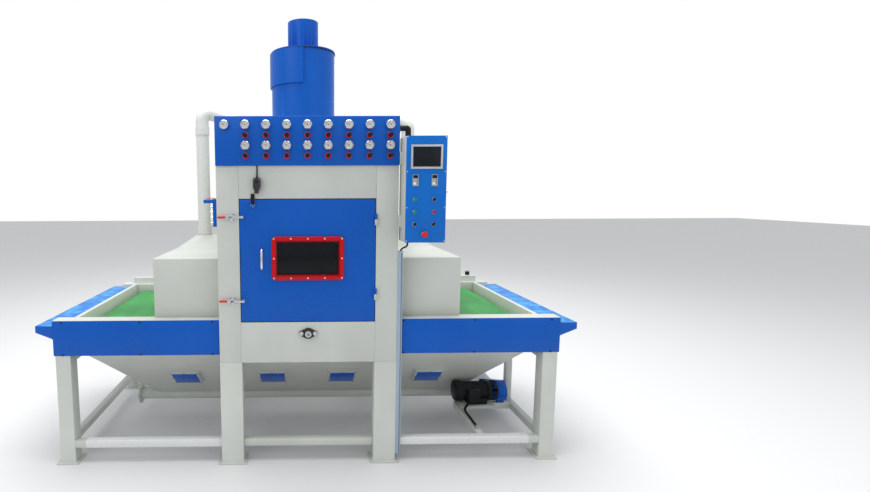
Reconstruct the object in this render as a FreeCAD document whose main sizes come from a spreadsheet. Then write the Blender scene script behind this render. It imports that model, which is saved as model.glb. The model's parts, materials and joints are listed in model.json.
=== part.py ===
"""Conveyor sandblasting machine: a blast cabin standing over a mesh belt conveyor.

The frame's origin is on the floor under the middle of the cabin. X runs along
the belt, -Y is the front with the main door, +Z is up. All sizes in millimetres.
"""
import FreeCAD
import Part
import Sketcher
import math
import os
import re

VECTOR = FreeCAD.Vector
DOCUMENT = FreeCAD.newDocument("conveyor_blaster")
SIZES = DOCUMENT.addObject("Spreadsheet::Sheet", "sizes")

DRIVING = {
    # the cabin
    "door_width": 896, "door_gap": 5, "jamb": 147, "cabin_proud": 25, "cabin_top": 2360, "wall": 40,
    "belly_low": 720, "cabin_leg": 150, "cabin_leg_depth": 100, "opening_above_tunnel": 20,
    "curtain_rail": 55,
    # feet and low frame
    "foot_thick": 10, "foot_lip": 23, "leg": 100, "leg_inset": 10, "anchor_r": 6,
    "stretcher": 50, "stretcher_z": 113, "end_beam": 70, "mid_post_y": -74,
    # the conveyor
    "frame_half": 1730, "frame_depth": 1450, "rail_deep": 100, "rail_top": 1015, "rail_thick": 40,
    "skirt_high": 205, "sheet": 6, "deck_long": 140, "end_wall_thick": 30,
    "shelf_out": 115, "shelf_drop": 37, "shelf_tip_high": 45, "shelf_root_high": 92,
    "belt_drop": 55, "belt_thick": 8, "belt_gap": 35, "drum_r": 75, "drum_gap": 10, "axle_r": 19,
    "slide_wide": 40, "slide_high": 22, "roller_r": 26,
    "guard_high": 56, "guard_deep": 50, "guard_inset": 12, "knob_from_end": 174,
    "guard_knob_r": 20, "guard_knob_tall": 46,
    # the tunnels and their ducts
    "tunnel_long": 460, "tunnel_high": 407, "tunnel_wall": 20,
    "hood_front": 105, "hood_high": 80, "hood_collar": 15, "duct_r": 55, "duct_out": 291, "duct_y": 370,
    "duct_top_left": 2570, "duct_top_right": 2476, "duct_in": 120, "duct_in_y": 520, "duct_rise": 84,
    "socket": 5, "socket_long": 70, "socket_drop": 135, "curtain": 10, "curtain_low": 970, "curtain_side": 5,
    # the cyclone
    "cyclone_x": -20, "cyclone_r": 245, "cyclone_high": 573, "outlet_r": 118, "outlet_high": 230,
    "outlet_wall": 5, "outlet_depth": 200, "flange_out": 25, "flange_thick": 12,
    "volute_rise": 308, "volute_out": 14, "volute_start": 95, "volute_end": 270,
    "rim_out": 4, "rim_high": 10,
    # hopper and screw conveyor
    "hopper_end": 130, "hopper_gap": 5, "mouth_end": 460, "mouth_z": 175, "hopper_wall": 8,
    "screw_y": 150, "screw_z": 148, "screw_r": 50, "screw_end_left": 306, "screw_end_right": 280,
    "screw_flange_out": 36, "screw_flange": 12, "screw_joint": 430,
    "hatch": 220, "hatch_rise": 24, "hatch_in_x": 272, "hatch_out_x": 953, "hatch_cover": 190,
    "hatch_share": 56, "hatch_plate": 4, "hatch_lip": 14,
    # motor and belt guard
    "motor_y": -144, "motor_z": 262, "motor_r": 82, "motor_end": 540, "motor_long": 290,
    "beam_in": 10, "plate_in": 40, "plate_past": 20, "cowl_long": 60, "shield_long": 30, "fin_high": 8, "motor_shaft_r": 12, "base_half": 110,
    "guard_off": 50, "guard_wide": 70, "guard_near_r": 80, "guard_far_r": 92, "guard_skin": 4,
    "pulley_gap": 14, "pulley_wide": 34, "near_pulley_r": 45, "far_pulley_r": 62,
    # gauge panel
    "panel_high": 316, "panel_thick": 12, "gauge_margin": 64, "gauge_r": 30, "gauge_deep": 26,
    "gauge_drop": 56, "row_drop": 131, "valve_drop": 66, "collar_r": 20, "collar_deep": 12,
    "knob_r": 14, "knob_deep": 40,
    # doors
    "door_low": 1005, "door_high": 1825, "door_thick": 36,
    "window_wide": 420, "window_high": 232, "window_z": 1434, "window_frame": 30, "window_rise": 14,
    "window_corner": 25, "window_lap": 6, "glass_thick": 8, "seat_gap": 0.3,
    "handle_inset": 143, "handle_low": 1364, "handle_high": 1500, "handle_r": 8, "handle_out": 42,
    "hinge_high": 1692, "hinge_low": 1192, "hinge_tall": 76, "hinge_r": 9, "hinge_out": 15, "hinge_leaf": 4,
    "hinge_wing": 24, "hinge_pin_r": 4,
    # toggle clamps
    "clamp_high": 1710, "clamp_low": 1150, "clamp_off": 42, "clamp_out": 22, "clamp_link": 28,
    "clamp_plate": 25, "clamp_end": 8, "arm_reach": 58, "arm_thick": 12, "arm_wide": 14,
    "pin_r": 4, "pin_gap": 0.05, "cheek": 4, "grip_r": 7, "grip_start": 20, "grip_end": 74,
    "spindle_r": 5, "spindle_out": 8, "pad_r": 8, "pad_thick": 9,
    # door switch with its key, and the side valve
    "switch_inset": 117, "switch_wide": 47, "switch_rise": 65, "switch_high": 74, "switch_deep": 38,
    "throat_high": 26, "key_wide": 41, "key_high": 54, "key_thick": 6, "key_offset": 30,
    "tongue_wide": 24, "tongue_low": 30, "tongue_rise": 36, "tongue_thick": 4,
    "manifold_low": 1646, "manifold_high": 1830, "manifold_deep": 26, "manifold_wide": 30,
    "manifold_inset": 10, "valve_r": 13, "valve_long": 60, "valve_top": 16,
    # belt shaft bearings
    "bearing_z": 925, "bearing_wide": 125, "bearing_high": 73, "bearing_thick": 16, "ear_r": 16,
    "shaft_r": 13,
    # control console
    "console_gap": 14, "console_wide": 256, "console_down": 141, "console_high": 669,
    "console_proud": 150, "console_deep": 200, "plate_thick": 4, "screen_wide": 200, "screen_high": 150,
    "screen_x": 28, "screen_drop": 55, "screen_deep": 8, "column_left": 60, "column_right": 180,
    "control_wide": 38, "control_high": 72, "control_drop": 240, "control_deep": 6,
    "button_r": 14, "button_deep": 18, "button_drop": 396, "button_pitch": 78,
    "stop_r": 20, "stop_deep": 30, "stop_drop": 615, "lock_r": 9, "lock_out": 16, "lock_in": 40,
    "lock_drop": 345, "conduit_r": 20, "conduit_bend": 44, "conduit_rise": 66, "conduit_in": 46,
    "trunk_wide": 36, "trunk_low": 60, "trunk_high": 1480,
    "box_hinge_r": 6, "box_hinge_half": 41, "box_hinge_drop": 129, "box_hinge_pitch": 410,
    "box_hinge_leaf": 3,
    # inside the cabin
    "gun_bar_r": 13, "gun_bar_z": 1640, "gun_row": 300, "gun_pitch": 240, "rod_r": 6, "rod_up": 190,
    "rod_down": 110, "lower_rod": 200, "cross_r": 11, "cross_long": 56, "clamp_block": 16,
    "gun_side": 42, "gun_r": 20, "gun_body": 90, "gun_drop": 250, "nozzle_r": 10, "nozzle_long": 55,
    "inlet_r": 8, "inlet_long": 26, "branch_r": 13, "branch_long": 78, "branch_tilt": 35,
    "plenum_r": 190, "plenum_plate": 10, "plenum_top": 84, "plenum_half": 55, "plenum_neck": 60,
    "plenum_high": 240, "plenum_toe": 60, "plenum_toe_half": 25, "drain_r": 18, "drain_long": 30,
    "stub_r": 12, "stub_long": 50, "stub_side": 28, "stub_pitch": 54, "stub_low": 38,
    "grit_hose_r": 13, "air_hose_r": 8, "hose_out": 190, "hose_step": 55, "fitting_r": 14, "fitting_long": 24,
    "fitting_in": 70, "fitting_step": 60, "fitting_pitch": 60, "lead_r": 4, "cable_r": 6, "motor_hose_r": 10,
}

# half the cabin's width and depth, and the clear half width between the side beams
HALF = "(door_width / 2 + door_gap + jamb)"
FACE = "(frame_depth / 2 + cabin_proud)"
INSIDE = "(frame_depth / 2 - rail_deep)"
# heights of the conveyor and the tunnels
SKIRT_LOW = "(rail_top - rail_thick - skirt_high)"
BELT_TOP = "(rail_top - belt_drop)"
SHELF_TOP = "(rail_top - shelf_drop)"
TUNNEL_TOP = "(rail_top + tunnel_high)"
TUNNEL_END = f"({HALF} + tunnel_long)"
HOOD_TOP = f"({TUNNEL_TOP} + hood_high + hood_collar)"
OPENING_TOP = f"({TUNNEL_TOP} - opening_above_tunnel)"
# the conveyor's end wall, its legs and the low bars
END_WALL = "(frame_half - deck_long)"
LEG_X = "(frame_half - leg_inset - leg)"
BAR_HEIGHT = ("stretcher_z", "stretcher_z + stretcher")
# the screw's drive
MOTOR_LEFT = "(frame_half - motor_end)"
MOTOR_RIGHT = f"({MOTOR_LEFT} + motor_long)"
GUARD_LEFT = f"({MOTOR_RIGHT} + guard_off)"
SCREW_RIGHT = "(frame_half - screw_end_right)"
# the control console
CONSOLE_LEFT = f"({HALF} + console_gap)"
CONSOLE_TOP = "(cabin_top - console_down)"
CONSOLE_FRONT = f"({FACE} + console_proud)"


def fill_sheet():
    """Give each driving dimension its own cell and alias."""
    for row, (name, size) in enumerate(DRIVING.items(), 1):
        SIZES.set(f"A{row}", name)
        SIZES.set(f"B{row}", str(size))
        SIZES.setAlias(f"B{row}", name)
    DOCUMENT.recompute()


def link(formula):
    """Write a formula of plain names as one that reads the sheet's cells."""
    return re.sub(r"[a-z]\w*", lambda word: "sizes." + word[0] if word[0] in DRIVING else word[0],
                  str(formula))


def value(formula):
    """The present number of a formula."""
    result = SIZES.evalExpression(link(formula))
    return float(getattr(result, "Value", result))


def point(x, y, z):
    return VECTOR(value(x), value(y), value(z))


def slab(name, x, y, z):
    """A block between a low and a high formula along each axis."""
    block = DOCUMENT.addObject("Part::Box", name)
    for size, place, (low, high) in zip(("Length", "Width", "Height"), "xyz", (x, y, z)):
        block.setExpression(size, link(f"({high}) - ({low})"))
        block.setExpression(f"Placement.Base.{place}", link(low))
    return block


TURNS = {
    "x": FreeCAD.Rotation(VECTOR(0, 1, 0), 90),
    "y": FreeCAD.Rotation(VECTOR(1, 0, 0), -90),
    "z": FreeCAD.Rotation(),
}


def rod(name, along, radius, x, y, z, sides=0):
    """A round bar, or one with flat sides. The place along its own axis is a low and a high formula."""
    bar = DOCUMENT.addObject("Part::Prism" if sides else "Part::Cylinder", name)
    bar.Placement = FreeCAD.Placement(VECTOR(), TURNS[along])
    if sides:
        bar.Polygon = sides
    bar.setExpression("Circumradius" if sides else "Radius", link(radius))
    for axis, place in zip("xyz", (x, y, z)):
        if axis == along:
            bar.setExpression("Height", link(f"({place[1]}) - ({place[0]})"))
            place = place[0]
        bar.setExpression(f"Placement.Base.{axis}", link(place))
    return bar


def frustum(name, z, low_x, low_y, high_x, high_y):
    """A block whose top face has its own size. Each span is a low and a high formula."""
    block = DOCUMENT.addObject("Part::Wedge", name)
    block.Placement = FreeCAD.Placement(VECTOR(), FreeCAD.Rotation(VECTOR(1, 0, 0), 90))
    for label, (low, high) in (("X{}", low_x), ("X2{}", high_x), ("Y{}", z)):
        block.setExpression(label.format("min"), link(low))
        block.setExpression(label.format("max"), link(high))
    for label, (low, high) in (("Z{}", low_y), ("Z2{}", high_y)):
        block.setExpression(label.format("min"), link(f"-({high})"))
        block.setExpression(label.format("max"), link(f"-({low})"))
    return block


PLANES = {"x": "YZ_Plane", "y": "XZ_Plane", "z": "XY_Plane"}


def new_sketch(body, along, offset):
    """An empty sketch across an axis, at a formula's place on it."""
    sketch = body.newObject("Sketcher::SketchObject", body.Name + "_sketch")
    plane = next(item for item in body.Origin.OriginFeatures if item.Role == PLANES[along])
    sketch.AttachmentSupport = [(plane, "")]
    sketch.MapMode = "FlatFace"
    sketch.setExpression("AttachmentOffset.Base.z", link(f"-({offset})" if along == "y" else offset))
    return sketch


def outline(sketch, corners):
    """A closed outline of straight edges through corners given by two formulas each."""
    places = [VECTOR(value(first), value(second), 0) for first, second in corners]
    count = len(corners)
    for index in range(count):
        sketch.addGeometry(Part.LineSegment(places[index], places[(index + 1) % count]), False)
    for index in range(count):
        sketch.addConstraint(Sketcher.Constraint("Coincident", index, 2, (index + 1) % count, 1))
    for index, (first, second) in enumerate(corners):
        for kind, formula in (("DistanceX", first), ("DistanceY", second)):
            rule = Sketcher.Constraint(kind, -1, 1, index, 1, value(formula))
            number = sketch.addConstraint(rule)
            sketch.setExpression(f"Constraints[{number}]", link(formula))
    return sketch


def prism(name, along, corners, span):
    """A pad of a straight-edged outline between two formulas along an axis."""
    body = DOCUMENT.addObject("PartDesign::Body", name)
    start = span[1] if along == "y" else span[0]
    sketch = outline(new_sketch(body, along, start), corners)
    pad = body.newObject("PartDesign::Pad", name + "_pad")
    pad.Profile = sketch
    pad.setExpression("Length", link(f"({span[1]}) - ({span[0]})"))
    return body


def cut(name, base, *tools):
    """The base with each tool taken out of it."""
    tool = fuse(name + "_tool", *tools)
    result = DOCUMENT.addObject("Part::Cut", name)
    result.Base = base
    result.Tool = tool
    return result


def fuse(name, *pieces):
    """One solid from pieces that touch or overlap."""
    if len(pieces) == 1:
        return pieces[0]
    result = DOCUMENT.addObject("Part::MultiFuse", name)
    result.Shapes = list(pieces)
    return result


def both(piece, *axes):
    """The piece with its mirror images across the middle of each axis named."""
    pieces = [piece]
    for axis in axes:
        for source in list(pieces):
            image = DOCUMENT.addObject("Part::Mirroring", f"{source.Name}_{axis}")
            image.Source = source
            image.Normal = VECTOR(*(float(axis == other) for other in "xyz"))
            pieces.append(image)
    return pieces


def turned(piece, name):
    """The piece turned half a turn about the vertical, for the machine's rear side."""
    result = DOCUMENT.addObject("Part::Compound", name)
    result.Links = [piece]
    result.Placement = FreeCAD.Placement(VECTOR(), FreeCAD.Rotation(VECTOR(0, 0, 1), 180))
    return result


def solid(name, shape):
    """A piece whose shape is worked out here from the sheet's sizes."""
    feature = DOCUMENT.addObject("Part::Feature", name)
    feature.Shape = shape
    return feature


NODES = []


def node(label, *pieces):
    """A named sub-part: one piece, or like pieces that don't touch."""
    result = pieces[0]
    if len(pieces) > 1:
        result = DOCUMENT.addObject("Part::Compound", label)
        result.Links = list(pieces)
    result.Label = label
    NODES.append(result)
    return result


def bent_tube(radius, points, bend):
    """A round tube through points, with its corners turned on one bend radius."""
    edges = []
    start = points[0]
    for before, corner, after in zip(points, points[1:], points[2:]):
        back = (before - corner).normalize()
        ahead = (after - corner).normalize()
        half = back.getAngle(ahead) / 2
        enter = corner + back * (bend / math.tan(half))
        leave = corner + ahead * (bend / math.tan(half))
        middle = corner + (back + ahead).normalize() * (bend / math.sin(half) - bend)
        edges.append(Part.LineSegment(start, enter).toShape())
        edges.append(Part.Arc(enter, middle, leave).toShape())
        start = leave
    edges.append(Part.LineSegment(start, points[-1]).toShape())
    section = Part.Wire(Part.Circle(points[0], points[1] - points[0], radius).toShape())
    return Part.Wire(edges).makePipeShell([section], True, False)


def flat_tube(radius, places, sides):
    """A tube of flat-sided section with a mitre at each place along its line."""
    line = Part.makePolygon(places)
    frame = FreeCAD.Rotation(VECTOR(0, 0, 1), places[1] - places[0])
    corners = []
    for index in range(sides + 1):
        angle = index * 2 * math.pi / sides
        corners.append(places[0] + frame * VECTOR(math.cos(angle), math.sin(angle), 0) * radius)
    return line.makePipeShell([Part.makePolygon(corners)], True, False, 1)


HOSE_SIDES = 6
HOSE_PLACES = 9


def hose(name, radius, start, ahead, knees, end, back):
    """A hose held at both ends: short straight leads joined by a smooth curve near the knees."""
    lead = radius * 1.5
    curve = Part.BezierCurve()
    curve.setPoles([start + ahead * lead, *knees, end + back * lead])
    places = [start, *curve.discretize(Number=HOSE_PLACES), end]
    return solid(name, flat_tube(radius, places, HOSE_SIDES))


def hull_plate(near, near_r, far, far_r, width):
    """Two round ends of different size, joined by their tangent lines and extruded."""
    along = (far - near).normalize()
    across = width.cross(along).normalize()
    lean = math.asin((near_r - far_r) / (far - near).Length)
    faces = []
    corners = []
    for centre, radius in ((near, near_r), (far, far_r)):
        faces.append(Part.Face(Part.Wire(Part.Circle(centre, width, radius).toShape())))
        for side in (1, -1):
            corners.append(centre + (along * math.sin(lean) + across * math.cos(lean) * side) * radius)
    faces.append(Part.Face(Part.makePolygon([corners[0], corners[2], corners[3], corners[1], corners[0]])))
    solids = [face.extrude(width) for face in faces]
    return solids[0].multiFuse(solids[1:]).removeSplitter()


def rounded_slab(name, x, y, z, corner):
    """A plate across the Y axis with four round corners."""
    (left, right), (low, high) = x, z
    wide = slab(name + "_wide", x, y, (f"{low} + {corner}", f"{high} - {corner}"))
    tall = slab(name + "_tall", (f"{left} + {corner}", f"{right} - {corner}"), y, z)
    rounds = [rod(name + "_corner", "y", corner, across, y, up)
              for across in (f"{left} + {corner}", f"{right} - {corner}")
              for up in (f"{low} + {corner}", f"{high} - {corner}")]
    result = fuse(name, wide, tall, *rounds)
    result.Refine = True
    return result


def cabin_shell():
    """Walls split beside and over the door openings, a roof, and four legs."""
    inner = f"{FACE} - wall"
    opening = "door_width / 2 + door_gap"
    front = (f"-{FACE}", f"-({inner})")
    jamb = slab("jamb_panel", (opening, HALF), front, ("belly_low", "cabin_top - wall"))
    node("door_jambs", *both(jamb, "x", "y"))
    header = slab("header", (f"-({opening})", opening), front, ("door_high + door_gap", "cabin_top - wall"))
    belly = slab("belly", (f"-({opening})", opening), front, ("belly_low", "door_low - door_gap"))
    node("cabin_faces", *both(header, "y"), *both(belly, "y"))
    side_wall = prism("side_wall", "x", [
        (f"-({inner})", "belly_low"), (f"-{INSIDE}", "belly_low"), (f"-{INSIDE}", OPENING_TOP),
        (INSIDE, OPENING_TOP), (INSIDE, "belly_low"), (inner, "belly_low"),
        (inner, "cabin_top - wall"), (f"-({inner})", "cabin_top - wall")], (f"{HALF} - wall", HALF))
    rail = slab("curtain_strip", (f"{HALF} - wall - sheet", f"{HALF} - wall"), (f"-({inner})", inner),
                (OPENING_TOP, f"{OPENING_TOP} + curtain_rail"))
    node("side_walls", *both(fuse("side_wall_solid", side_wall, rail), "x"))
    node("cabin_roof", slab("roof", (f"-{HALF}", HALF), (f"-{FACE}", FACE), ("cabin_top - wall", "cabin_top")))
    x = (f"{HALF} - cabin_leg", HALF)
    y = (f"-{FACE}", f"-{FACE} + cabin_leg_depth")
    post = slab("cabin_post", x, y, ("foot_thick", "belly_low"))
    return both(fuse("cabin_leg_solid", post, foot_plate("cabin_foot", x, y)), "x", "y")


def foot_plate(name, x, y):
    """A plate on the floor, wider than its leg by the same lip all round."""
    return slab(name, (f"{x[0]} - foot_lip", f"{x[1]} + foot_lip"), (f"{y[0]} - foot_lip", f"{y[1]} + foot_lip"),
                ("0", "foot_thick"))


def low_frame(cabin_legs):
    """Conveyor legs, the stretchers between them and the motor's beams."""
    x = (LEG_X, f"{LEG_X} + leg")
    y = ("-frame_depth / 2", "-frame_depth / 2 + leg")
    post = slab("conveyor_post", x, y, ("foot_thick", SKIRT_LOW))
    anchor = rod("anchor_hole", "z", "anchor_r", f"{LEG_X} + leg + foot_lip / 2", "-frame_depth / 2 + leg / 2",
                 ("-foot_thick", "foot_thick * 2"))
    foot = cut("drilled_foot", foot_plate("conveyor_foot", x, y), anchor)
    node("machine_legs", *cabin_legs, *both(fuse("conveyor_leg_solid", post, foot), "x", "y"))
    front = ("-frame_depth / 2", "-frame_depth / 2 + stretcher")
    inside = "frame_depth / 2 - leg"
    end_x = (f"{LEG_X} + leg / 2 - stretcher / 2", f"{LEG_X} + leg / 2 + stretcher / 2")
    outer = slab("outer_bar", (HALF, LEG_X), front, BAR_HEIGHT)
    middle = slab("middle_bar", (f"-{HALF} + cabin_leg", f"{HALF} - cabin_leg"), front, BAR_HEIGHT)
    end = slab("end_bar", end_x, (f"-({inside})", inside), BAR_HEIGHT)
    beam = slab("end_beam_bar", (f"{LEG_X} + (leg - end_beam) / 2", f"{LEG_X} + (leg + end_beam) / 2"),
                (f"-({inside})", inside), (f"{SKIRT_LOW} - end_beam", SKIRT_LOW))
    node("frame_stretchers", *both(outer, "x", "y"), *both(middle, "y"), *both(end, "x"), *both(beam, "x"))
    beam_top = BAR_HEIGHT[1]
    post = slab("mid_post", end_x, ("mid_post_y", "mid_post_y + stretcher"),
                (beam_top, f"{SKIRT_LOW} - end_beam"))
    beam_x = f"{MOTOR_LEFT} + beam_in"
    beam_y = "motor_y - stretcher / 2"
    along = slab("motor_beam_y", (beam_x, f"{beam_x} + stretcher"),
                 ("-frame_depth / 2 + stretcher", f"{beam_y} + stretcher"), BAR_HEIGHT)
    across = slab("motor_beam_x", (f"{beam_x} + stretcher", end_x[0]), (beam_y, f"{beam_y} + stretcher"),
                  BAR_HEIGHT)
    plate = slab("motor_plate", (f"{MOTOR_LEFT} + plate_in", f"{MOTOR_RIGHT} + plate_past"),
                 ("motor_y - base_half", "motor_y + base_half"), (beam_top, f"{beam_top} + foot_thick"))
    node("drive_frame", fuse("drive_frame_solid", along, across, plate), post)


def side_beams():
    """The conveyor's side rails with their blue skirts, and the guards behind the belt."""
    half = "frame_depth / 2"
    span = (HALF, "frame_half")
    rail_low = "rail_top - rail_thick"
    rail = prism("rail", "x", [
        (f"-{half}", rail_low), (f"-{INSIDE} - sheet", rail_low), (f"-{INSIDE} - sheet", SKIRT_LOW),
        (f"-{INSIDE}", SKIRT_LOW), (f"-{INSIDE}", "rail_top"), (f"-{half}", "rail_top")], span)
    skirt = prism("skirt", "x", [
        (f"-{half}", SKIRT_LOW), (f"-{INSIDE} - sheet", SKIRT_LOW), (f"-{INSIDE} - sheet", f"{SKIRT_LOW} + sheet"),
        (f"-{half} + sheet", f"{SKIRT_LOW} + sheet"), (f"-{half} + sheet", rail_low), (f"-{half}", rail_low)], span)
    node("side_skirts", *both(skirt, "x", "y"))
    guard_y = (f"{half} - guard_deep - guard_inset", f"{half} - guard_inset")
    back = slab("back_guard", (HALF, "frame_half - rail_deep"), guard_y, ("rail_top", "rail_top + guard_high"))
    knob = rod("guard_knob", "z", "guard_knob_r", "frame_half - knob_from_end",
               f"{half} - guard_inset - guard_deep / 2",
               ("rail_top + guard_high", "rail_top + guard_high + guard_knob_tall"))
    rear_rail = DOCUMENT.addObject("Part::Mirroring", "rear_rail")
    rear_rail.Source = rail
    rear_rail.Normal = VECTOR(0, 1, 0)
    left_rail = both(fuse("rear_rail_solid", rear_rail, back), "x")[1]
    right_rail = fuse("rear_rail_knob", rear_rail, back, knob)
    node("side_rails", *both(rail, "x"), left_rail, right_rail)


def end_shelves():
    """Folded trays past the conveyor's ends: a deck, a root plate, a turned-down tip and gussets."""
    half = "frame_depth / 2"
    tip = "frame_half + shelf_out"
    root_low = f"{SHELF_TOP} - shelf_root_high"
    tip_low = f"{SHELF_TOP} - shelf_tip_high"
    wall = slab("end_wall", (END_WALL, f"{END_WALL} + end_wall_thick"), (f"-{INSIDE}", INSIDE),
                (SKIRT_LOW, "rail_top"))
    node("end_walls", *both(wall, "x"))
    deck = slab("deck", (f"{END_WALL} + end_wall_thick", "frame_half"), (f"-{INSIDE}", INSIDE),
                (f"{SHELF_TOP} - sheet", SHELF_TOP))
    root = slab("shelf_root", ("frame_half", "frame_half + sheet"), (f"-{half}", half), (root_low, SHELF_TOP))
    fold = prism("shelf_fold", "y", [
        ("frame_half", f"{SHELF_TOP} - sheet"), (f"{tip} - sheet", f"{SHELF_TOP} - sheet"),
        (f"{tip} - sheet", tip_low), (tip, tip_low), (tip, SHELF_TOP), ("frame_half", SHELF_TOP)],
        (f"-{half}", half))
    gussets = []
    for name, place in (("end", half), ("inner", f"{half} / 3")):
        gusset = prism("gusset_" + name, "y", [
            ("frame_half", root_low), (tip, tip_low), (tip, SHELF_TOP), ("frame_half", SHELF_TOP)],
            (f"-{place}", f"-{place} + sheet"))
        gussets += both(gusset, "y")
    node("end_shelves", *both(fuse("shelf", deck, root, fold, *gussets), "x"))


def belt():
    """The closed belt loop on its two drums, its middle roller and its slide bed."""
    drum_x = f"({END_WALL} - drum_gap - drum_r - belt_thick)"
    drum_z = f"({BELT_TOP} - belt_thick - drum_r)"
    belt_half = f"({INSIDE} - belt_gap)"
    drum = rod("drum", "y", "drum_r - seat_gap", drum_x, (f"-{belt_half} + drum_gap", f"{belt_half} - drum_gap"),
               drum_z, 24)
    axle = rod("axle", "y", "axle_r", drum_x, (f"-{INSIDE}", INSIDE), drum_z, 12)
    roller = rod("roller", "y", "roller_r", "0", (f"-{FACE} + wall", f"{FACE} - wall"), "bearing_z", 16)
    node("belt_rollers", *both(fuse("drum_solid", drum, axle), "x"), roller)
    loops = []
    wide = (f"-{belt_half}", belt_half)
    for name, radius in (("outer", "drum_r + belt_thick"), ("inner", "drum_r")):
        block = slab("belt_" + name, (f"-{drum_x}", drum_x), wide,
                     (f"{drum_z} - ({radius})", f"{drum_z} + ({radius})"))
        ends = both(rod("belt_end_" + name, "y", radius, drum_x, wide, drum_z), "x")
        loops.append(fuse("belt_loop_" + name, block, *ends))
    node("mesh_belt", cut("belt", loops[0], loops[1]))
    slide_top = f"{BELT_TOP} - belt_thick - seat_gap"
    bed = []
    for name, place in (("inner", f"{belt_half} / 4"), ("outer", f"{belt_half} * 3 / 4")):
        slide = slab("slide_" + name, ("roller_r * 2", f"{drum_x} - drum_r - drum_gap"),
                     (f"{place} - slide_wide / 2", f"{place} + slide_wide / 2"),
                     (f"{slide_top} - slide_high", slide_top))
        bed += both(slide, "y")
    for name, place in (("near", f"{HALF} + cabin_leg"), ("far", f"{END_WALL} * 3 / 4")):
        bed.append(slab("cross_" + name, (place, f"{place} + slide_wide"), (f"-{INSIDE}", INSIDE),
                        (f"{slide_top} - slide_high - slide_wide", f"{slide_top} - slide_high")))
    node("belt_bed", *both(fuse("belt_bed_solid", *bed), "x"))


def bearings():
    """Two-bolt flange bearings on both bellies, with the shaft's end showing."""
    centre = point("0", f"-{FACE}", "bearing_z")
    width = VECTOR(0, -value("bearing_thick"), 0)
    hub_r = value("bearing_high / 2")
    flanges = []
    for side in (-1, 1):
        ear = centre + VECTOR(value("bearing_wide / 2 - ear_r") * side, 0, 0)
        flanges.append(hull_plate(centre, hub_r, ear, value("ear_r"), width))
    flange = solid("bearing_flange", flanges[0].fuse(flanges[1]).removeSplitter())
    hub = rod("bearing_hub", "y", "bearing_high * 0.4", "0", (f"-{FACE} - bearing_thick * 2", f"-{FACE}"),
              "bearing_z")
    shaft = rod("shaft_end", "y", "shaft_r", "0", (f"-{FACE} - bearing_thick * 3", f"-{FACE}"), "bearing_z")
    node("flange_bearings", *both(fuse("bearing", flange, hub, shaft), "y"))


def tunnels():
    """Hooded tunnels over the belt, their curtains, and the ducts from hoods to roof."""
    outer = f"({INSIDE} + tunnel_wall)"
    tunnel = prism("tunnel", "x", [
        (f"-{outer}", "rail_top"), (f"-{INSIDE}", "rail_top"), (f"-{INSIDE}", f"{TUNNEL_TOP} - tunnel_wall"),
        (INSIDE, f"{TUNNEL_TOP} - tunnel_wall"), (INSIDE, "rail_top"), (outer, "rail_top"),
        (outer, TUNNEL_TOP), (f"-{outer}", TUNNEL_TOP)], (HALF, TUNNEL_END))
    node("belt_tunnels", *both(tunnel, "x"))
    node("tunnel_hoods", *both(hood(outer), "x"))
    node("extraction_ducts", *duct("left_duct", -1, "duct_top_left"), *duct("right_duct", 1, "duct_top_right"))
    curtain_y = (f"-{INSIDE} + curtain_side", f"{INSIDE} - curtain_side")
    outer_x = (f"{TUNNEL_END} - curtain * 3", f"{TUNNEL_END} - curtain * 2")
    inner_x = (f"{HALF} - wall + curtain", f"{HALF} - wall + curtain * 2")
    mouth = slab("mouth_curtain", outer_x, curtain_y, ("curtain_low", f"{TUNNEL_TOP} - tunnel_wall - seat_gap"))
    inner = slab("inner_curtain", inner_x, curtain_y, ("curtain_low", f"{OPENING_TOP} - seat_gap"))
    node("strip_curtains", *both(mouth, "x"), *both(inner, "x"))


def hood(back):
    """A four-sided hood that rises from the tunnel's roof to the round collar of the duct."""
    duct_x = f"({HALF} + duct_out)"
    rim = "(duct_r + socket * 2)"
    rise = (TUNNEL_TOP, f"{TUNNEL_TOP} + hood_high")
    slopes = frustum("hood_slopes", rise, (HALF, TUNNEL_END), ("hood_front", back),
                     (f"{duct_x} - {rim}", f"{duct_x} + {rim}"), (f"duct_y - {rim}", f"duct_y + {rim}"))
    collar = rod("hood_collar", "z", rim, duct_x, "duct_y", (rise[1], HOOD_TOP))
    return fuse("hood_solid", slopes, collar)


def duct(name, side, top):
    """The plastic pipe from a hood, up through two sockets, across and down into the roof."""
    duct_x = f"({HALF} + duct_out) * {side}"
    in_x = f"({HALF} - duct_in) * {side}"
    route = [point(duct_x, "duct_y", HOOD_TOP), point(duct_x, "duct_y", top),
             point(in_x, "duct_in_y", "cabin_top + duct_rise"), point(in_x, "duct_in_y", "cabin_top")]
    pipe = solid(name + "_pipe", bent_tube(value("duct_r"), route, value("duct_r * 1.2")))
    pieces = [pipe]
    for low in (HOOD_TOP, f"{top} - socket_drop - socket_long"):
        span = (low, f"{low} + socket_long")
        sleeve = rod(name + "_socket", "z", "duct_r + socket", duct_x, "duct_y", span)
        bore = rod(name + "_bore", "z", "duct_r + seat_gap", duct_x, "duct_y", span)
        pieces.append(cut(name + "_sleeve", sleeve, bore))
    return pieces


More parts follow.
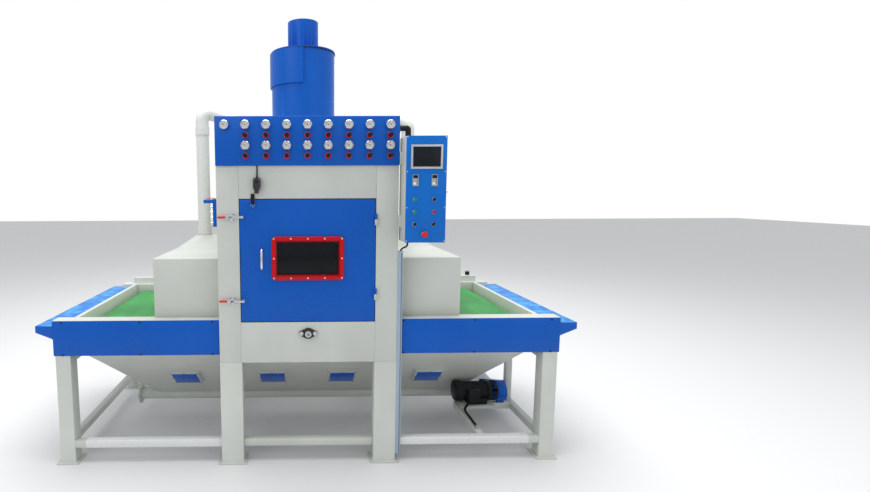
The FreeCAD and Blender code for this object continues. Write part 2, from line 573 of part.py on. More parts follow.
def cyclone():
    """Round dust separator on the roof, with its inlet wrap, rim and open outlet."""
    place = ("cyclone_x", "0")
    top = "(cabin_top + flange_thick + cyclone_high)"
    barrel = rod("cyclone_barrel", "z", "cyclone_r", *place, ("cabin_top + flange_thick", top))
    flange = rod("cyclone_flange", "z", "cyclone_r + flange_out", *place,
                 ("cabin_top", "cabin_top + flange_thick"))
    volute = rod("cyclone_volute", "z", "cyclone_r + volute_out", *place,
                 ("cabin_top + flange_thick + volute_rise", f"{top} - volute_out"))
    volute.setExpression("Angle", link("volute_end - volute_start"))
    volute.setExpression("Placement.Rotation.Angle", link("volute_start"))
    rim = rod("cyclone_rim", "z", "cyclone_r + rim_out", *place, (f"{top} - rim_high", top))
    node("cyclone_body", fuse("cyclone_solid", barrel, flange, volute, rim))
    outlet_top = f"({top} + outlet_high)"
    tube = rod("outlet_tube", "z", "outlet_r", *place, (top, outlet_top))
    bore = rod("outlet_bore", "z", "outlet_r - outlet_wall", *place, (f"{outlet_top} - outlet_depth", outlet_top))
    node("cyclone_outlet", cut("outlet", tube, bore))


def hopper():
    """The long trough under the belt, and the screw's pipe that it stands on."""
    mouth = "(sqrt(screw_r * screw_r - (mouth_z - screw_z) * (mouth_z - screw_z)) + hopper_wall)"
    top_y = f"({INSIDE} - hopper_gap)"
    top_x = "(frame_half - hopper_end)"
    low_x = "(frame_half - mouth_end)"
    blocks = [frustum("hopper_block", ("mouth_z", SKIRT_LOW), (f"-{low_x} + {inset}", f"{low_x} - {inset}"),
                      (f"screw_y - {mouth} + {inset}", f"screw_y + {mouth} - {inset}"),
                      (f"-{top_x} + {inset}", f"{top_x} - {inset}"), (f"-{top_y} + {inset}", f"{top_y} - {inset}"))
              for inset in ("0", "hopper_wall")]
    saddle = rod("hopper_saddle", "x", "screw_r + seat_gap", (f"{low_x} - hopper_wall * 2", f"{low_x} + screw_r"),
                 "screw_y", "screw_z")
    node("grit_hopper", cut("hopper_solid", blocks[0], blocks[1], *both(saddle, "x")))
    left = "-(frame_half - screw_end_left)"
    line = ("screw_y", "screw_z")
    pipe = rod("screw_pipe", "x", "screw_r", (left, SCREW_RIGHT), *line)
    flanges = [rod("screw_flange_" + name, "x", "screw_r + screw_flange_out", span, *line)
               for name, span in (("left", (f"{left} - screw_flange", left)),
                                  ("right", (SCREW_RIGHT, f"{SCREW_RIGHT} + screw_flange")))]
    stub = rod("screw_stub", "x", "shaft_r", (f"{SCREW_RIGHT} + screw_flange", f"{GUARD_LEFT} + pulley_gap"), *line)
    node("screw_conveyor", fuse("screw_solid", pipe, stub, *flanges))
    hatches = []
    for side in (-1, 1):
        for place in ("hatch_in_x", "hatch_out_x"):
            hatches += both(fuse("hatch_solid", *hatch(side, place)), "x")
    node("cleanout_hatches", *hatches)


def hatch(side, place):
    """One hatch: a flange on the hopper's slope, a shallow box and its cover plate."""
    mouth = value("sqrt(screw_r * screw_r - (mouth_z - screw_z) * (mouth_z - screw_z)) + hopper_wall")
    top = point("0", f"({INSIDE} - hopper_gap) * {side}", SKIRT_LOW)
    bottom = VECTOR(0, value("screw_y") + side * mouth, value("mouth_z"))
    slope = (bottom - top).normalize()
    outward = VECTOR(1, 0, 0).cross(slope) * side
    centre = top + (bottom - top) * value("hatch_share / 100") + VECTOR(value(place), 0, 0)
    turn = FreeCAD.Rotation(VECTOR(1, 0, 0), slope, outward, "XZY")
    made = []
    for wide, low, high in (("hatch + hatch_lip * 2", "0", "hatch_plate"), ("hatch", "hatch_plate", "hatch_rise"),
                            ("hatch_cover", "hatch_rise", "hatch_rise + hatch_plate")):
        size = value(wide)
        corner = VECTOR(-size / 2, -size / 2, value(low))
        feature = solid("hatch_piece", Part.makeBox(size, size, value(f"{high} - {low}"), corner))
        feature.Placement = FreeCAD.Placement(centre, turn)
        made.append(feature)
    return made


def screw_drive():
    """Ribbed motor on its base plate, two pulleys with their belt, and the open-backed guard."""
    shaft = ("motor_y", "motor_z")
    plate_top = f"{BAR_HEIGHT[1]} + foot_thick"
    cowl_end = f"{MOTOR_LEFT} + cowl_long"
    shield = f"{MOTOR_RIGHT} - shield_long"
    barrel = rod("motor_barrel", "x", "motor_r - fin_high * 2", (cowl_end, shield), *shaft)
    fins = []
    for turn in range(0, 180, 20):
        fin = slab("motor_fin", (cowl_end, shield), ("-motor_r + fin_high", "motor_r - fin_high"),
                   ("-fin_high / 4", "fin_high / 4"))
        ring = DOCUMENT.addObject("Part::Compound", "motor_fin_turned")
        ring.Links = [fin]
        ring.Placement = FreeCAD.Placement(VECTOR(), FreeCAD.Rotation(VECTOR(1, 0, 0), turn))
        ring.setExpression("Placement.Base.y", link("motor_y"))
        ring.setExpression("Placement.Base.z", link("motor_z"))
        fins.append(ring)
    cowl = rod("motor_cowl", "x", "motor_r", (f"{MOTOR_LEFT} + fin_high", cowl_end), *shaft)
    cap = rod("motor_cap", "x", "motor_r - fin_high", (MOTOR_LEFT, f"{MOTOR_LEFT} + fin_high"), *shaft)
    end = rod("motor_shield", "x", "motor_r - fin_high / 4", (shield, MOTOR_RIGHT), *shaft)
    feet = slab("motor_feet", (f"{cowl_end} + cowl_long * 2 / 3", f"{shield} - fin_high"),
                ("motor_y - motor_r + fin_high", "motor_y + motor_r - fin_high"),
                (plate_top, "motor_z - motor_r / 2"))
    box = slab("terminal_box", (f"{cowl_end} + shield_long", f"{cowl_end} + shield_long * 4"),
               ("motor_y - motor_r - shield_long", "motor_y - motor_r / 2"),
               ("motor_z - shield_long * 2", "motor_z + shield_long * 4 / 3"))
    bar = rod("motor_shaft", "x", "motor_shaft_r", (MOTOR_RIGHT, f"{GUARD_LEFT} + pulley_gap"), *shaft)
    node("screw_motor", fuse("motor_solid", barrel, *fins, cowl, cap, end, feet, box, bar))
    guard_and_pulleys()


def guard_and_pulleys():
    """The guard's shell round two round ends, and the pulleys and belt inside it."""
    near = point(GUARD_LEFT, "motor_y", "motor_z")
    far = point(GUARD_LEFT, "screw_y", "screw_z")
    width = VECTOR(value("guard_wide"), 0, 0)
    skin = value("guard_skin")
    near_r = value("guard_near_r")
    far_r = value("guard_far_r")
    outside = hull_plate(near, near_r, far, far_r, width)
    hollow = VECTOR(value("guard_wide") - skin, 0, 0)
    shell = solid("guard_shell", outside.cut(hull_plate(near, near_r - skin, far, far_r - skin, hollow)))
    foot = slab("guard_foot", (f"{GUARD_LEFT} + guard_wide / 4", f"{GUARD_LEFT} + guard_wide"),
                ("motor_y - stretcher / 3", "motor_y + stretcher / 3"),
                (BAR_HEIGHT[1], "motor_z - guard_near_r + guard_skin"))
    node("belt_guard", fuse("guard_with_foot", shell, foot))
    span = (f"{GUARD_LEFT} + pulley_gap", f"{GUARD_LEFT} + pulley_gap + pulley_wide")
    pulleys = [rod("motor_pulley", "x", "near_pulley_r", span, "motor_y", "motor_z", 24),
               rod("screw_pulley", "x", "far_pulley_r", span, "screw_y", "screw_z", 24)]
    inset = VECTOR(value("pulley_gap + pulley_wide / 4"), 0, 0)
    band = VECTOR(value("pulley_wide / 2"), 0, 0)
    thick = value("belt_thick")
    rings = [hull_plate(near + inset, value("near_pulley_r") + extra, far + inset,
                        value("far_pulley_r") + extra, band) for extra in (thick, 0)]
    node("drive_pulleys", fuse("pulley_set", *pulleys, solid("drive_belt", rings[0].cut(rings[1]))))


def gauge_panel():
    """The blue panel with a gauge over each regulator, and one gauge alone."""
    front = f"-{FACE} - panel_thick"
    node("gauge_panel", slab("panel", (f"-{HALF}", HALF), (front, f"-{FACE}"), ("cabin_top - panel_high", "cabin_top")))
    instruments = []
    collar_front = f"{front} - collar_deep"
    for row, height in enumerate(("cabin_top - gauge_drop", "cabin_top - gauge_drop - row_drop")):
        for column in range(row, 9):
            x = f"({HALF} - gauge_margin) * {(column - 4) / 4}"
            name = f"{row}_{column}"
            instruments.append(rod("gauge_" + name, "y", "gauge_r", x, (f"{front} - gauge_deep", front), height, 20))
            if column == 0:
                continue
            drop = f"{height} - valve_drop"
            collar = rod("collar_" + name, "y", "collar_r", x, (collar_front, front), drop, 12)
            knob = rod("knob_" + name, "y", "knob_r", x, (f"{collar_front} - knob_deep", collar_front), drop, 10)
            instruments.append(fuse("regulator_" + name, collar, knob))
    node("gauges_and_regulators", *instruments)


def door():
    """The front door: leaf with a window, its bolted frame, glass and bent handle."""
    leaf = slab("leaf", ("-door_width / 2", "door_width / 2"), (f"-{FACE}", f"-{FACE} + door_thick"),
                ("door_low", "door_high"))
    window_x = ("-window_wide / 2", "window_wide / 2")
    window_z = ("window_z - window_high / 2", "window_z + window_high / 2")
    window = slab("leaf_window", window_x, (f"-{FACE} - sheet", f"-{FACE} + door_thick + sheet"), window_z)
    rim = rounded_slab("rim", (f"({window_x[0]} - window_frame)", f"({window_x[1]} + window_frame)"),
                       (f"-{FACE} - window_rise", f"-{FACE}"),
                       (f"({window_z[0]} - window_frame)", f"({window_z[1]} + window_frame)"), "window_corner")
    hole = slab("rim_hole", (f"{window_x[0]} + window_lap", f"{window_x[1]} - window_lap"),
                (f"-{FACE} - window_rise - sheet", f"-{FACE} + sheet"),
                (f"{window_z[0]} + window_lap", f"{window_z[1]} - window_lap"))
    frame = node("front_window_frame", cut("rim_solid", rim, hole))
    glass = node("front_window_glass", slab("glass", window_x, (f"-{FACE}", f"-{FACE} + glass_thick"), window_z))
    bend = value("handle_r * 3")
    places = []
    for height, rise in (("handle_low", 1), ("handle_high", -1)):
        outer = point("-door_width / 2 + handle_inset", f"-{FACE} - handle_out", height)
        root = outer + VECTOR(0, value("handle_out"), 0)
        curve = [outer + VECTOR(0, bend, 0)]
        for angle in (30, 60):
            turn = math.radians(angle)
            curve.append(outer + VECTOR(0, 1 - math.sin(turn), rise * (1 - math.cos(turn))) * bend)
        curve.append(outer + VECTOR(0, 0, rise * bend))
        end = [root, *curve]
        places += end if rise == 1 else end[::-1]
    handle = node("front_door_handle", solid("handle", flat_tube(value("handle_r"), places, 12)))
    upper, lower = hinges()
    hung_leaf = fuse("hung_leaf", cut("leaf_solid", leaf, window), *upper)
    node("front_door_leaf", fuse("front_leaf_solid", hung_leaf, *switch_key()))
    frame_hinges = DOCUMENT.addObject("Part::Compound", "frame_hinges")
    frame_hinges.Links = lower
    node("fixed_hinges", frame_hinges, turned(frame_hinges, "rear_frame_hinges"), *console_hinges())
    for piece, label in ((hung_leaf, "rear_door_leaf"), (frame, "rear_window_frame"),
                         (glass, "rear_window_glass"), (handle, "rear_door_handle")):
        node(label, turned(piece, label))


def hinges():
    """Lift-off hinges: a lower half with a pin on the cabin, and an upper half on the leaf."""
    x = "(door_width / 2 + door_gap / 2)"
    y = f"-{FACE} - hinge_out"
    plate_y = (f"-{FACE} - hinge_leaf", f"-{FACE}")
    web_y = (y, f"-{FACE} - hinge_leaf / 2")
    upper = []
    lower = []
    for name, middle in (("high", "hinge_high"), ("low", "hinge_low")):
        door_half = (middle, f"{middle} + hinge_tall / 2")
        frame_half = (f"{middle} - hinge_tall / 2", f"{middle} - seat_gap")
        pin_top = f"{middle} + hinge_tall / 2 - hinge_r"
        for kind, height, side in (("door", door_half, -1), ("frame", frame_half, 1)):
            barrel = rod(f"knuckle_{kind}_{name}", "z", "hinge_r", x, y, height, 16)
            near = f"{x} + ({side}) * hinge_r"
            root = f"{x} + ({side}) * hinge_r / 2"
            tip = f"{x} + ({side}) * hinge_wing"
            wing = slab(f"wing_{kind}_{name}", (tip, root)[::-side], plate_y, height)
            web = slab(f"web_{kind}_{name}", (near, root)[::-side], web_y, height)
            if kind == "door":
                hole = rod("hinge_hole_" + name, "z", "hinge_pin_r + pin_gap", x, y,
                           (f"{middle} - hinge_r", f"{pin_top} + seat_gap"))
                upper.append(cut("door_hinge_" + name, fuse("door_knuckle_" + name, barrel, wing, web), hole))
            else:
                pin = rod("hinge_pin_" + name, "z", "hinge_pin_r", x, y, (frame_half[0], pin_top), 12)
                lower.append(fuse("frame_hinge_" + name, barrel, wing, web, pin))
    return upper, lower


def clamps():
    """Toggle clamps that hold each door's free edge: base, arm with spindle, and handle."""
    bases = []
    pivot_y = f"(-{FACE} - clamp_out)"
    arm_x = "(-door_width / 2 - clamp_off)"
    handle_x = f"({arm_x} - clamp_link)"
    ends = (f"{handle_x} - clamp_end", f"{arm_x} + clamp_end")
    for name, z in (("upper", "clamp_high"), ("lower", "clamp_low")):
        plate = slab("clamp_plate_" + name, ends, (f"-{FACE} - cheek", f"-{FACE}"),
                     (f"{z} - clamp_plate", f"{z} + clamp_plate"))
        sides = []
        for side in (-1, 1):
            low = f"{z} + ({side}) * (arm_wide / 2 + seat_gap) + ({(side - 1) // 2}) * cheek"
            sides.append(slab(f"clamp_cheek_{name}", ends, (f"{pivot_y} - clamp_end", f"-{FACE} - cheek / 2"),
                              (low, f"{low} + cheek")))
        pins = [rod(f"clamp_pin_{name}", "z", "pin_r", x, pivot_y,
                    (f"{z} - arm_wide / 2 - cheek", f"{z} + arm_wide / 2 + cheek"), 12) for x in (arm_x, handle_x)]
        bases.append(fuse("clamp_base_" + name, plate, *sides, *pins))
        arm = node(f"front_{name}_clamp_arm", clamp_arm(name, arm_x, pivot_y, z))
        handle = node(f"front_{name}_clamp_handle", clamp_handle(name, handle_x, pivot_y, z))
        node(f"rear_{name}_clamp_arm", turned(arm, f"rear_arm_{name}"))
        node(f"rear_{name}_clamp_handle", turned(handle, f"rear_handle_{name}"))
    front = DOCUMENT.addObject("Part::Compound", "front_clamp_bases")
    front.Links = bases
    node("clamp_bases", front, turned(front, "rear_clamp_bases"))


def clamp_arm(name, x, y, z):
    """The arm from its pivot to the spindle whose pad presses on the door."""
    height = (f"{z} - arm_wide / 2", f"{z} + arm_wide / 2")
    tip = f"({x} + arm_reach)"
    bar = slab("arm_bar_" + name, (x, f"{tip} + spindle_r + cheek"),
               (f"{y} - arm_thick / 2", f"{y} + arm_thick / 2"), height)
    boss = rod("arm_boss_" + name, "z", "arm_thick / 2 + arm_thick / 12", x, y, height)
    spindle = rod("arm_spindle_" + name, "y", "spindle_r", tip,
                  (f"{y} - arm_thick / 2 - spindle_out", f"-{FACE} - seat_gap"), z, 12)
    pad = rod("arm_pad_" + name, "y", "pad_r", tip,
              (f"-{FACE} - seat_gap - pad_thick", f"-{FACE} - seat_gap"), z, 16)
    hole = rod("arm_hole_" + name, "z", "pin_r + pin_gap", x, y, height)
    return cut("arm_solid_" + name, fuse("arm_raw_" + name, bar, boss, spindle, pad), hole)


def clamp_handle(name, x, y, z):
    """The handle from its pivot to the grip."""
    height = (f"{z} - arm_wide / 2", f"{z} + arm_wide / 2")
    bar = slab("handle_link_" + name, (f"{x} - grip_start - cheek", x),
               (f"{y} - arm_thick / 3", f"{y} + arm_thick / 3"), height)
    boss = rod("handle_boss_" + name, "z", "arm_thick / 2", x, y, height)
    grip = rod("handle_grip_" + name, "x", "grip_r", (f"{x} - grip_end", f"{x} - grip_start"), y, z, 12)
    hole = rod("handle_hole_" + name, "z", "pin_r + pin_gap", x, y, height)
    return cut("clamp_handle_" + name, fuse("handle_raw_" + name, bar, boss, grip), hole)


SWITCH_X = "(-door_width / 2 + switch_inset)"
SWITCH_LOW = "(door_high + switch_rise)"


def door_switch():
    """Safety switch over the front door."""
    half = "switch_wide / 2"
    body = slab("switch_body", (f"{SWITCH_X} - {half}", f"{SWITCH_X} + {half}"),
                (f"-{FACE} - switch_deep", f"-{FACE}"), (SWITCH_LOW, f"{SWITCH_LOW} + switch_high"))
    throat = slab("switch_throat", (f"{SWITCH_X} - switch_wide / 3", f"{SWITCH_X} + switch_wide / 5"),
                  (f"-{FACE} - switch_deep * 4 / 5", f"-{FACE}"), (f"{SWITCH_LOW} - throat_high", SWITCH_LOW))
    node("door_switch", fuse("switch_solid", body, throat))


def switch_key():
    """The bracket bolted to the front door, with the tongue that the switch reads."""
    middle = f"({SWITCH_X} - key_offset)"
    front = f"-{FACE} - key_thick"
    bracket = slab("key_bracket", (f"{middle} - key_wide / 2", f"{middle} + key_wide / 2"), (front, f"-{FACE}"),
                   ("door_high - key_high", "door_high"))
    tongue = slab("key_tongue", (f"{middle} - tongue_wide / 2", f"{middle} + tongue_wide / 2"),
                  (f"{front} - tongue_thick", front), ("door_high - tongue_low", "door_high + tongue_rise"))
    return bracket, tongue


def console():
    """Control cabinet hung on the cabin's front right corner, with its face plate and controls."""
    x = (CONSOLE_LEFT, f"{CONSOLE_LEFT} + console_wide")
    z = (f"{CONSOLE_TOP} - console_high", CONSOLE_TOP)
    y = (f"-{CONSOLE_FRONT} + plate_thick", f"-{CONSOLE_FRONT} + console_deep")
    lock = rod("console_lock", "x", "lock_r", (x[1], f"{x[1]} + lock_out"), f"-{CONSOLE_FRONT} + lock_in",
               f"{CONSOLE_TOP} - lock_drop")
    node("console_box", fuse("console_solid", slab("cabinet", x, y, z), lock))
    front = f"-{CONSOLE_FRONT}"
    node("console_plate", slab("face_plate", x, (front, f"{front} + plate_thick"), z))
    screen_top = f"{CONSOLE_TOP} - screen_drop"
    controls = [slab("screen", (f"{CONSOLE_LEFT} + screen_x", f"{CONSOLE_LEFT} + screen_x + screen_wide"),
                     (f"{front} - screen_deep", front), (f"{screen_top} - screen_high", screen_top))]
    for column in (f"{CONSOLE_LEFT} + column_left", f"{CONSOLE_LEFT} + column_right"):
        for row in range(3):
            height = f"{CONSOLE_TOP} - button_drop - button_pitch * {row}"
            controls.append(rod("button", "y", "button_r", column, (f"{front} - button_deep", front), height, 16))
        top = f"{CONSOLE_TOP} - control_drop"
        controls.append(slab("controller", (f"{column} - control_wide / 2", f"{column} + control_wide / 2"),
                             (f"{front} - control_deep", front), (f"{top} - control_high", top)))
    controls.append(rod("stop_button", "y", "stop_r", f"{CONSOLE_LEFT} + (column_left + column_right) / 2",
                        (f"{front} - stop_deep", front), f"{CONSOLE_TOP} - stop_drop", 20))
    node("console_controls", *controls)
    conduit_y = f"-{FACE} + conduit_rise / 3"
    corner = point(f"{CONSOLE_LEFT} + conduit_in", conduit_y, f"{CONSOLE_TOP} + conduit_rise")
    bend = value("conduit_bend")
    places = [point(HALF, conduit_y, f"{CONSOLE_TOP} + conduit_rise")]
    for angle in range(0, 91, 18):
        turn = math.radians(angle)
        places.append(corner + VECTOR(math.sin(turn) - 1, 0, math.cos(turn) - 1) * bend)
    places.append(point(f"{CONSOLE_LEFT} + conduit_in", conduit_y, CONSOLE_TOP))
    node("console_conduit", solid("conduit", flat_tube(value("conduit_r"), places, 16)))
    node("cable_trunking", slab("trunking", (HALF, f"{HALF} + trunk_wide"), (f"-{FACE}", "-frame_depth / 2"),
                                ("trunk_low", "trunk_high")))


def console_hinges():
    """The two hinges between the console and the cabin's corner."""
    made = []
    for index in range(2):
        middle = f"({CONSOLE_TOP} - box_hinge_drop - box_hinge_pitch * {index})"
        height = (f"{middle} - box_hinge_half", f"{middle} + box_hinge_half")
        barrel = rod(f"console_knuckle_{index}", "z", "box_hinge_r", f"{HALF} + console_gap / 2",
                     f"-{FACE} - box_hinge_r - box_hinge_leaf / 2", height)
        cabin_leaf = slab(f"cabin_leaf_{index}", (HALF, f"{HALF} + box_hinge_leaf"),
                          (f"-{FACE} - box_hinge_r", f"-{FACE} + box_hinge_r * 5"), height)
        box_leaf = slab(f"box_leaf_{index}", (f"{CONSOLE_LEFT} - box_hinge_leaf", CONSOLE_LEFT),
                        (f"-{FACE} - box_hinge_r * 6", f"-{FACE} - box_hinge_r"), height)
        made.append(fuse(f"console_hinge_{index}", barrel, cabin_leaf, box_leaf))
    return made


def side_valve():
    """Small air manifold with its ball valve on the cabin's left side."""
    y = f"-{FACE} + manifold_inset"
    block = slab("manifold", (f"-{HALF} - manifold_deep", f"-{HALF}"), (y, f"{y} + manifold_wide"),
                 ("manifold_low", "manifold_high"))
    valve = rod("valve", "x", "valve_r", (f"-{HALF} - manifold_deep - valve_long", f"-{HALF} - manifold_deep"),
                f"{y} + manifold_wide / 2", "manifold_high - valve_top")
    node("air_manifold", fuse("manifold_solid", block, valve))


GUN_ROWS = range(4)
GUN_COLUMNS = range(4)


def gun_place(row, column):
    """Formulas of the rod's X and of the cross bar's Y at one gun."""
    return f"(gun_pitch * ({column} - 1.5))", f"(gun_row * ({row} - 1.5))"


def branch_line(row, column):
    """Root, direction and mouth of the slanted branch that takes a gun's grit hose."""
    x, y = gun_place(row, column)
    root = point(f"{x} - gun_side", f"{y} - gun_bar_r - rod_r", "gun_bar_z - gun_drop - gun_body * 2 / 3")
    tilt = math.radians(value("branch_tilt"))
    direction = VECTOR(-math.sin(tilt), 0, math.cos(tilt))
    return root, direction, root + direction * value("branch_long")


def blast_guns():
    """Sixteen guns, each on two rods and cross clamps, under four cross bars."""
    frames = []
    guns = []
    for row in GUN_ROWS:
        wall = f"({HALF} - wall)"
        x, y = gun_place(row, 0)
        pieces = [rod(f"gun_bar_{row}", "x", "gun_bar_r", (f"-{wall}", wall), y, "gun_bar_z", 12)]
        for column in GUN_COLUMNS:
            name = f"{row}_{column}"
            x, y = gun_place(row, column)
            front = f"({y} - gun_bar_r - rod_r)"
            cross_z = "gun_bar_z - rod_down"
            drop_x = f"({x} + cross_long / 2)"
            gun_x = f"({x} - gun_side)"
            gun_top = "(gun_bar_z - gun_drop)"
            clamp_z = f"{gun_top} - gun_body / 3"
            pieces += [
                rod("upper_rod_" + name, "z", "rod_r", x, front, (cross_z, "gun_bar_z + rod_up"), 6),
                slab("bar_clamp_" + name, (f"{x} - clamp_block", f"{x} + clamp_block"),
                     (f"{front} - rod_r * 2", f"{y} + gun_bar_r + cheek"),
                     ("gun_bar_z - clamp_block - cheek", "gun_bar_z + clamp_block + cheek")),
                rod("cross_tube_" + name, "x", "cross_r", (f"{x} - cross_r", f"{drop_x} + cross_r"), front,
                    cross_z, 8),
                rod("lower_rod_" + name, "z", "rod_r", drop_x, front, (f"{cross_z} - lower_rod", cross_z), 6),
                slab("gun_clamp_" + name, (f"{gun_x} + gun_r", f"{drop_x} + rod_r * 2"),
                     (f"{front} - rod_r * 3 / 2", f"{front} + rod_r * 3 / 2"),
                     (f"{clamp_z} - rod_r", f"{clamp_z} + rod_r")),
            ]
            barrel = rod("gun_barrel_" + name, "z", "gun_r", gun_x, front, (f"{gun_top} - gun_body", gun_top), 12)
            nozzle = rod("gun_nozzle_" + name, "z", "nozzle_r", gun_x, front,
                         (f"{gun_top} - gun_body - nozzle_long", f"{gun_top} - gun_body"), 8)
            inlet = rod("gun_inlet_" + name, "z", "inlet_r", gun_x, front, (gun_top, f"{gun_top} + inlet_long"), 6)
            root, direction, mouth = branch_line(row, column)
            branch = solid("gun_branch_" + name, flat_tube(value("branch_r"), [root, mouth], 8))
            guns.append(fuse("gun_" + name, barrel, nozzle, inlet, branch))
        frames.append(fuse(f"gun_frame_{row}", *pieces))
    node("gun_frames", *frames)
    node("blast_guns", *guns)


def stub_mouth(side, row, step):
    """Where a hose starts on the distribution box: its side, gun row and height step."""
    near = "-1" if row < 2 else "1"
    return point(f"(plenum_half + stub_long) * {side}", f"stub_side * {near}",
                 f"{PLENUM_LOW} + stub_low + stub_pitch * {step}")


PLENUM_TOP = "(cabin_top - wall - plenum_plate - plenum_neck)"
PLENUM_LOW = f"({PLENUM_TOP} - plenum_high)"


def distribution_box():
    """The grit divider under the ceiling: round plate, neck, box, toe, drain and sixteen stubs."""
    ceiling = "cabin_top - wall"
    square = ("-plenum_half", "plenum_half")
    toe = ("-plenum_toe_half", "plenum_toe_half")
    wide = ("-plenum_top", "plenum_top")
    blocks = [frustum("plenum_toe_block", (f"{PLENUM_LOW} - plenum_toe", PLENUM_LOW), toe, toe, square, square),
              slab("plenum_box", square, square, (PLENUM_LOW, PLENUM_TOP)),
              frustum("plenum_neck_block", (PLENUM_TOP, f"{ceiling} - plenum_plate"), square, square, wide, wide)]
    pieces = [*blocks, rod("plenum_disc", "z", "plenum_r", "0", "0", (f"{ceiling} - plenum_plate", ceiling)),
              rod("drain", "z", "drain_r", "0", "0",
                  (f"{PLENUM_LOW} - plenum_toe - drain_long", f"{PLENUM_LOW} - plenum_toe"), 12)]
    for near in ("-stub_side", "stub_side"):
        for step in range(4):
            height = f"{PLENUM_LOW} + stub_low + stub_pitch * {step}"
            reach = "plenum_half + stub_long"
            pieces.append(rod(f"stub_{step}", "x", "stub_r", (f"-({reach})", reach), near, height, 8))
    node("distribution_box", fuse("plenum_solid", *pieces))


def grit_hoses():
    """A black hose from each stub of the divider to the slanted branch of its gun."""
    hoses = []
    out = value("hose_out")
    step = value("hose_step")
    for row in GUN_ROWS:
        for column in GUN_COLUMNS:
            side = -1 if column < 2 else 1
            far_row = row in (0, 3)
            outer = column in (0, 3)
            start = stub_mouth(side, row, 2 * outer + far_row)
            root, direction, mouth = branch_line(row, column)
            ahead = VECTOR(side, 0, 0)
            aside = VECTOR(direction.x * out, -step, 0)
            over = VECTOR(mouth.x, mouth.y, start.z) + aside
            knees = [start + ahead * out, over, mouth + aside + VECTOR(0, 0, out * 2), mouth + direction * out]
            hoses.append(hose(f"grit_hose_{row}_{column}", value("grit_hose_r"), start, ahead, knees, mouth,
                              direction))
    node("grit_hoses", *hoses)


def air_hoses():
    """A clear hose from a ceiling fitting to the air inlet of each gun."""
    pieces = []
    ceiling = "cabin_top - wall"
    down = VECTOR(0, 0, -1)
    drop = value("hose_out")
    for row in GUN_ROWS:
        for column in GUN_COLUMNS:
            side = -1 if column < 2 else 1
            outer = column in (0, 3)
            x, y = gun_place(row, column)
            fit_x = f"({HALF} - wall - fitting_in - fitting_step * {0 if outer else 1}) * ({side})"
            # the third row's inner hoses start further forward, clear of their neighbours
            forward_steps = 3 if row == 2 and not outer else 1
            fit_y = f"{y} - fitting_pitch * {forward_steps}"
            name = f"{row}_{column}"
            pieces.append(rod("fitting_" + name, "z", "fitting_r", fit_x, fit_y,
                              (f"{ceiling} - fitting_long", ceiling), 6))
            start = point(fit_x, fit_y, f"{ceiling} - fitting_long")
            end = point(f"{x} - gun_side", f"{y} - gun_bar_r - rod_r", "gun_bar_z - gun_drop + inlet_long")
            forward = VECTOR(0, -value("hose_step"), 0)
            knees = [start + down * drop, end + forward - down * drop * 2, end + forward * 0.5 - down * drop]
            pieces.append(hose("air_hose_" + name, value("air_hose_r"), start, down, knees, end, down * -1))
    node("air_hoses", *pieces)


def control_cables():
    """Held leads: the door switch's, the console's to its trunking, and the motor's."""
    switch_top = f"{SWITCH_LOW} + switch_high"
    lead_y = f"-{FACE} - lead_r"
    lead = rod("switch_lead", "z", "lead_r", SWITCH_X, lead_y, (switch_top, "cabin_top - panel_high"), 8)
    box_low = point(f"{CONSOLE_LEFT} + conduit_in", f"-{FACE} - cable_r * 3", f"{CONSOLE_TOP} - console_high")
    trunk_top = point(f"{HALF} + trunk_wide / 2", f"-{FACE} + cable_r * 2", "trunk_high")
    run = (box_low.z - trunk_top.z)
    knees = [box_low - VECTOR(0, 0, run / 2), trunk_top + VECTOR(0, 0, run / 2)]
    up = VECTOR(0, 0, 1)
    cable = hose("console_cable", value("cable_r"), box_low, up * -1, knees, trunk_top, up)
    node("control_cables", lead, cable)


def check_document():
    """Stop if any object failed, or a sub-part has no valid shape."""
    for item in DOCUMENT.Objects:
        if "Invalid" in item.State or "Error" in item.State:
            raise RuntimeError(f"{item.Name} failed: {item.State}")
    for item in NODES:
        if item.Shape.isNull() or not item.Shape.isValid():
            raise RuntimeError(f"{item.Label} has no valid shape")


def main():
    fill_sheet()
    low_frame(cabin_shell())
    for section in (side_beams, end_shelves, belt, bearings, tunnels, cyclone, hopper, screw_drive,
                    gauge_panel, door, clamps, door_switch, console, side_valve, blast_guns,
                    distribution_box, grit_hoses, air_hoses, control_cables):
        section()
    DOCUMENT.recompute()
    check_document()
    os.makedirs("parts", exist_ok=True)
    for item in NODES:
        item.Shape.exportStep(f"parts/{item.Label}.step")
    print(len(NODES), "sub-parts,", sum(len(item.Shape.Solids) for item in NODES), "solids")


main()
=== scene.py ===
"""Dresses the conveyor sandblasting machine: finishes, fine pieces, light and camera."""
import json
import math

import bpy
from bpy.props import FloatProperty, FloatVectorProperty, IntProperty, PointerProperty
from mathutils import Matrix, Vector


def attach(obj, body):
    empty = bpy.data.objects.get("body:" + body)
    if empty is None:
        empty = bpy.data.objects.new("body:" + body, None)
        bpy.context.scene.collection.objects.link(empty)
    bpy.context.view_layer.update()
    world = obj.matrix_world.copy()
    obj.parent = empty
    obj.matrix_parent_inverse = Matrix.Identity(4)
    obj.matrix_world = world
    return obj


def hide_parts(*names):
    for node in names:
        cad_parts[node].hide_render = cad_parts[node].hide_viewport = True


bl_info = {
    "name": "Conveyor Sandblaster",
    "version": (1, 0, 0),
    "blender": (4, 5, 0),
    "location": "3D View > Sidebar > Sandblaster",
    "description": "Dresses the conveyor sandblasting machine with finishes and fine pieces",
    "category": "Object",
}

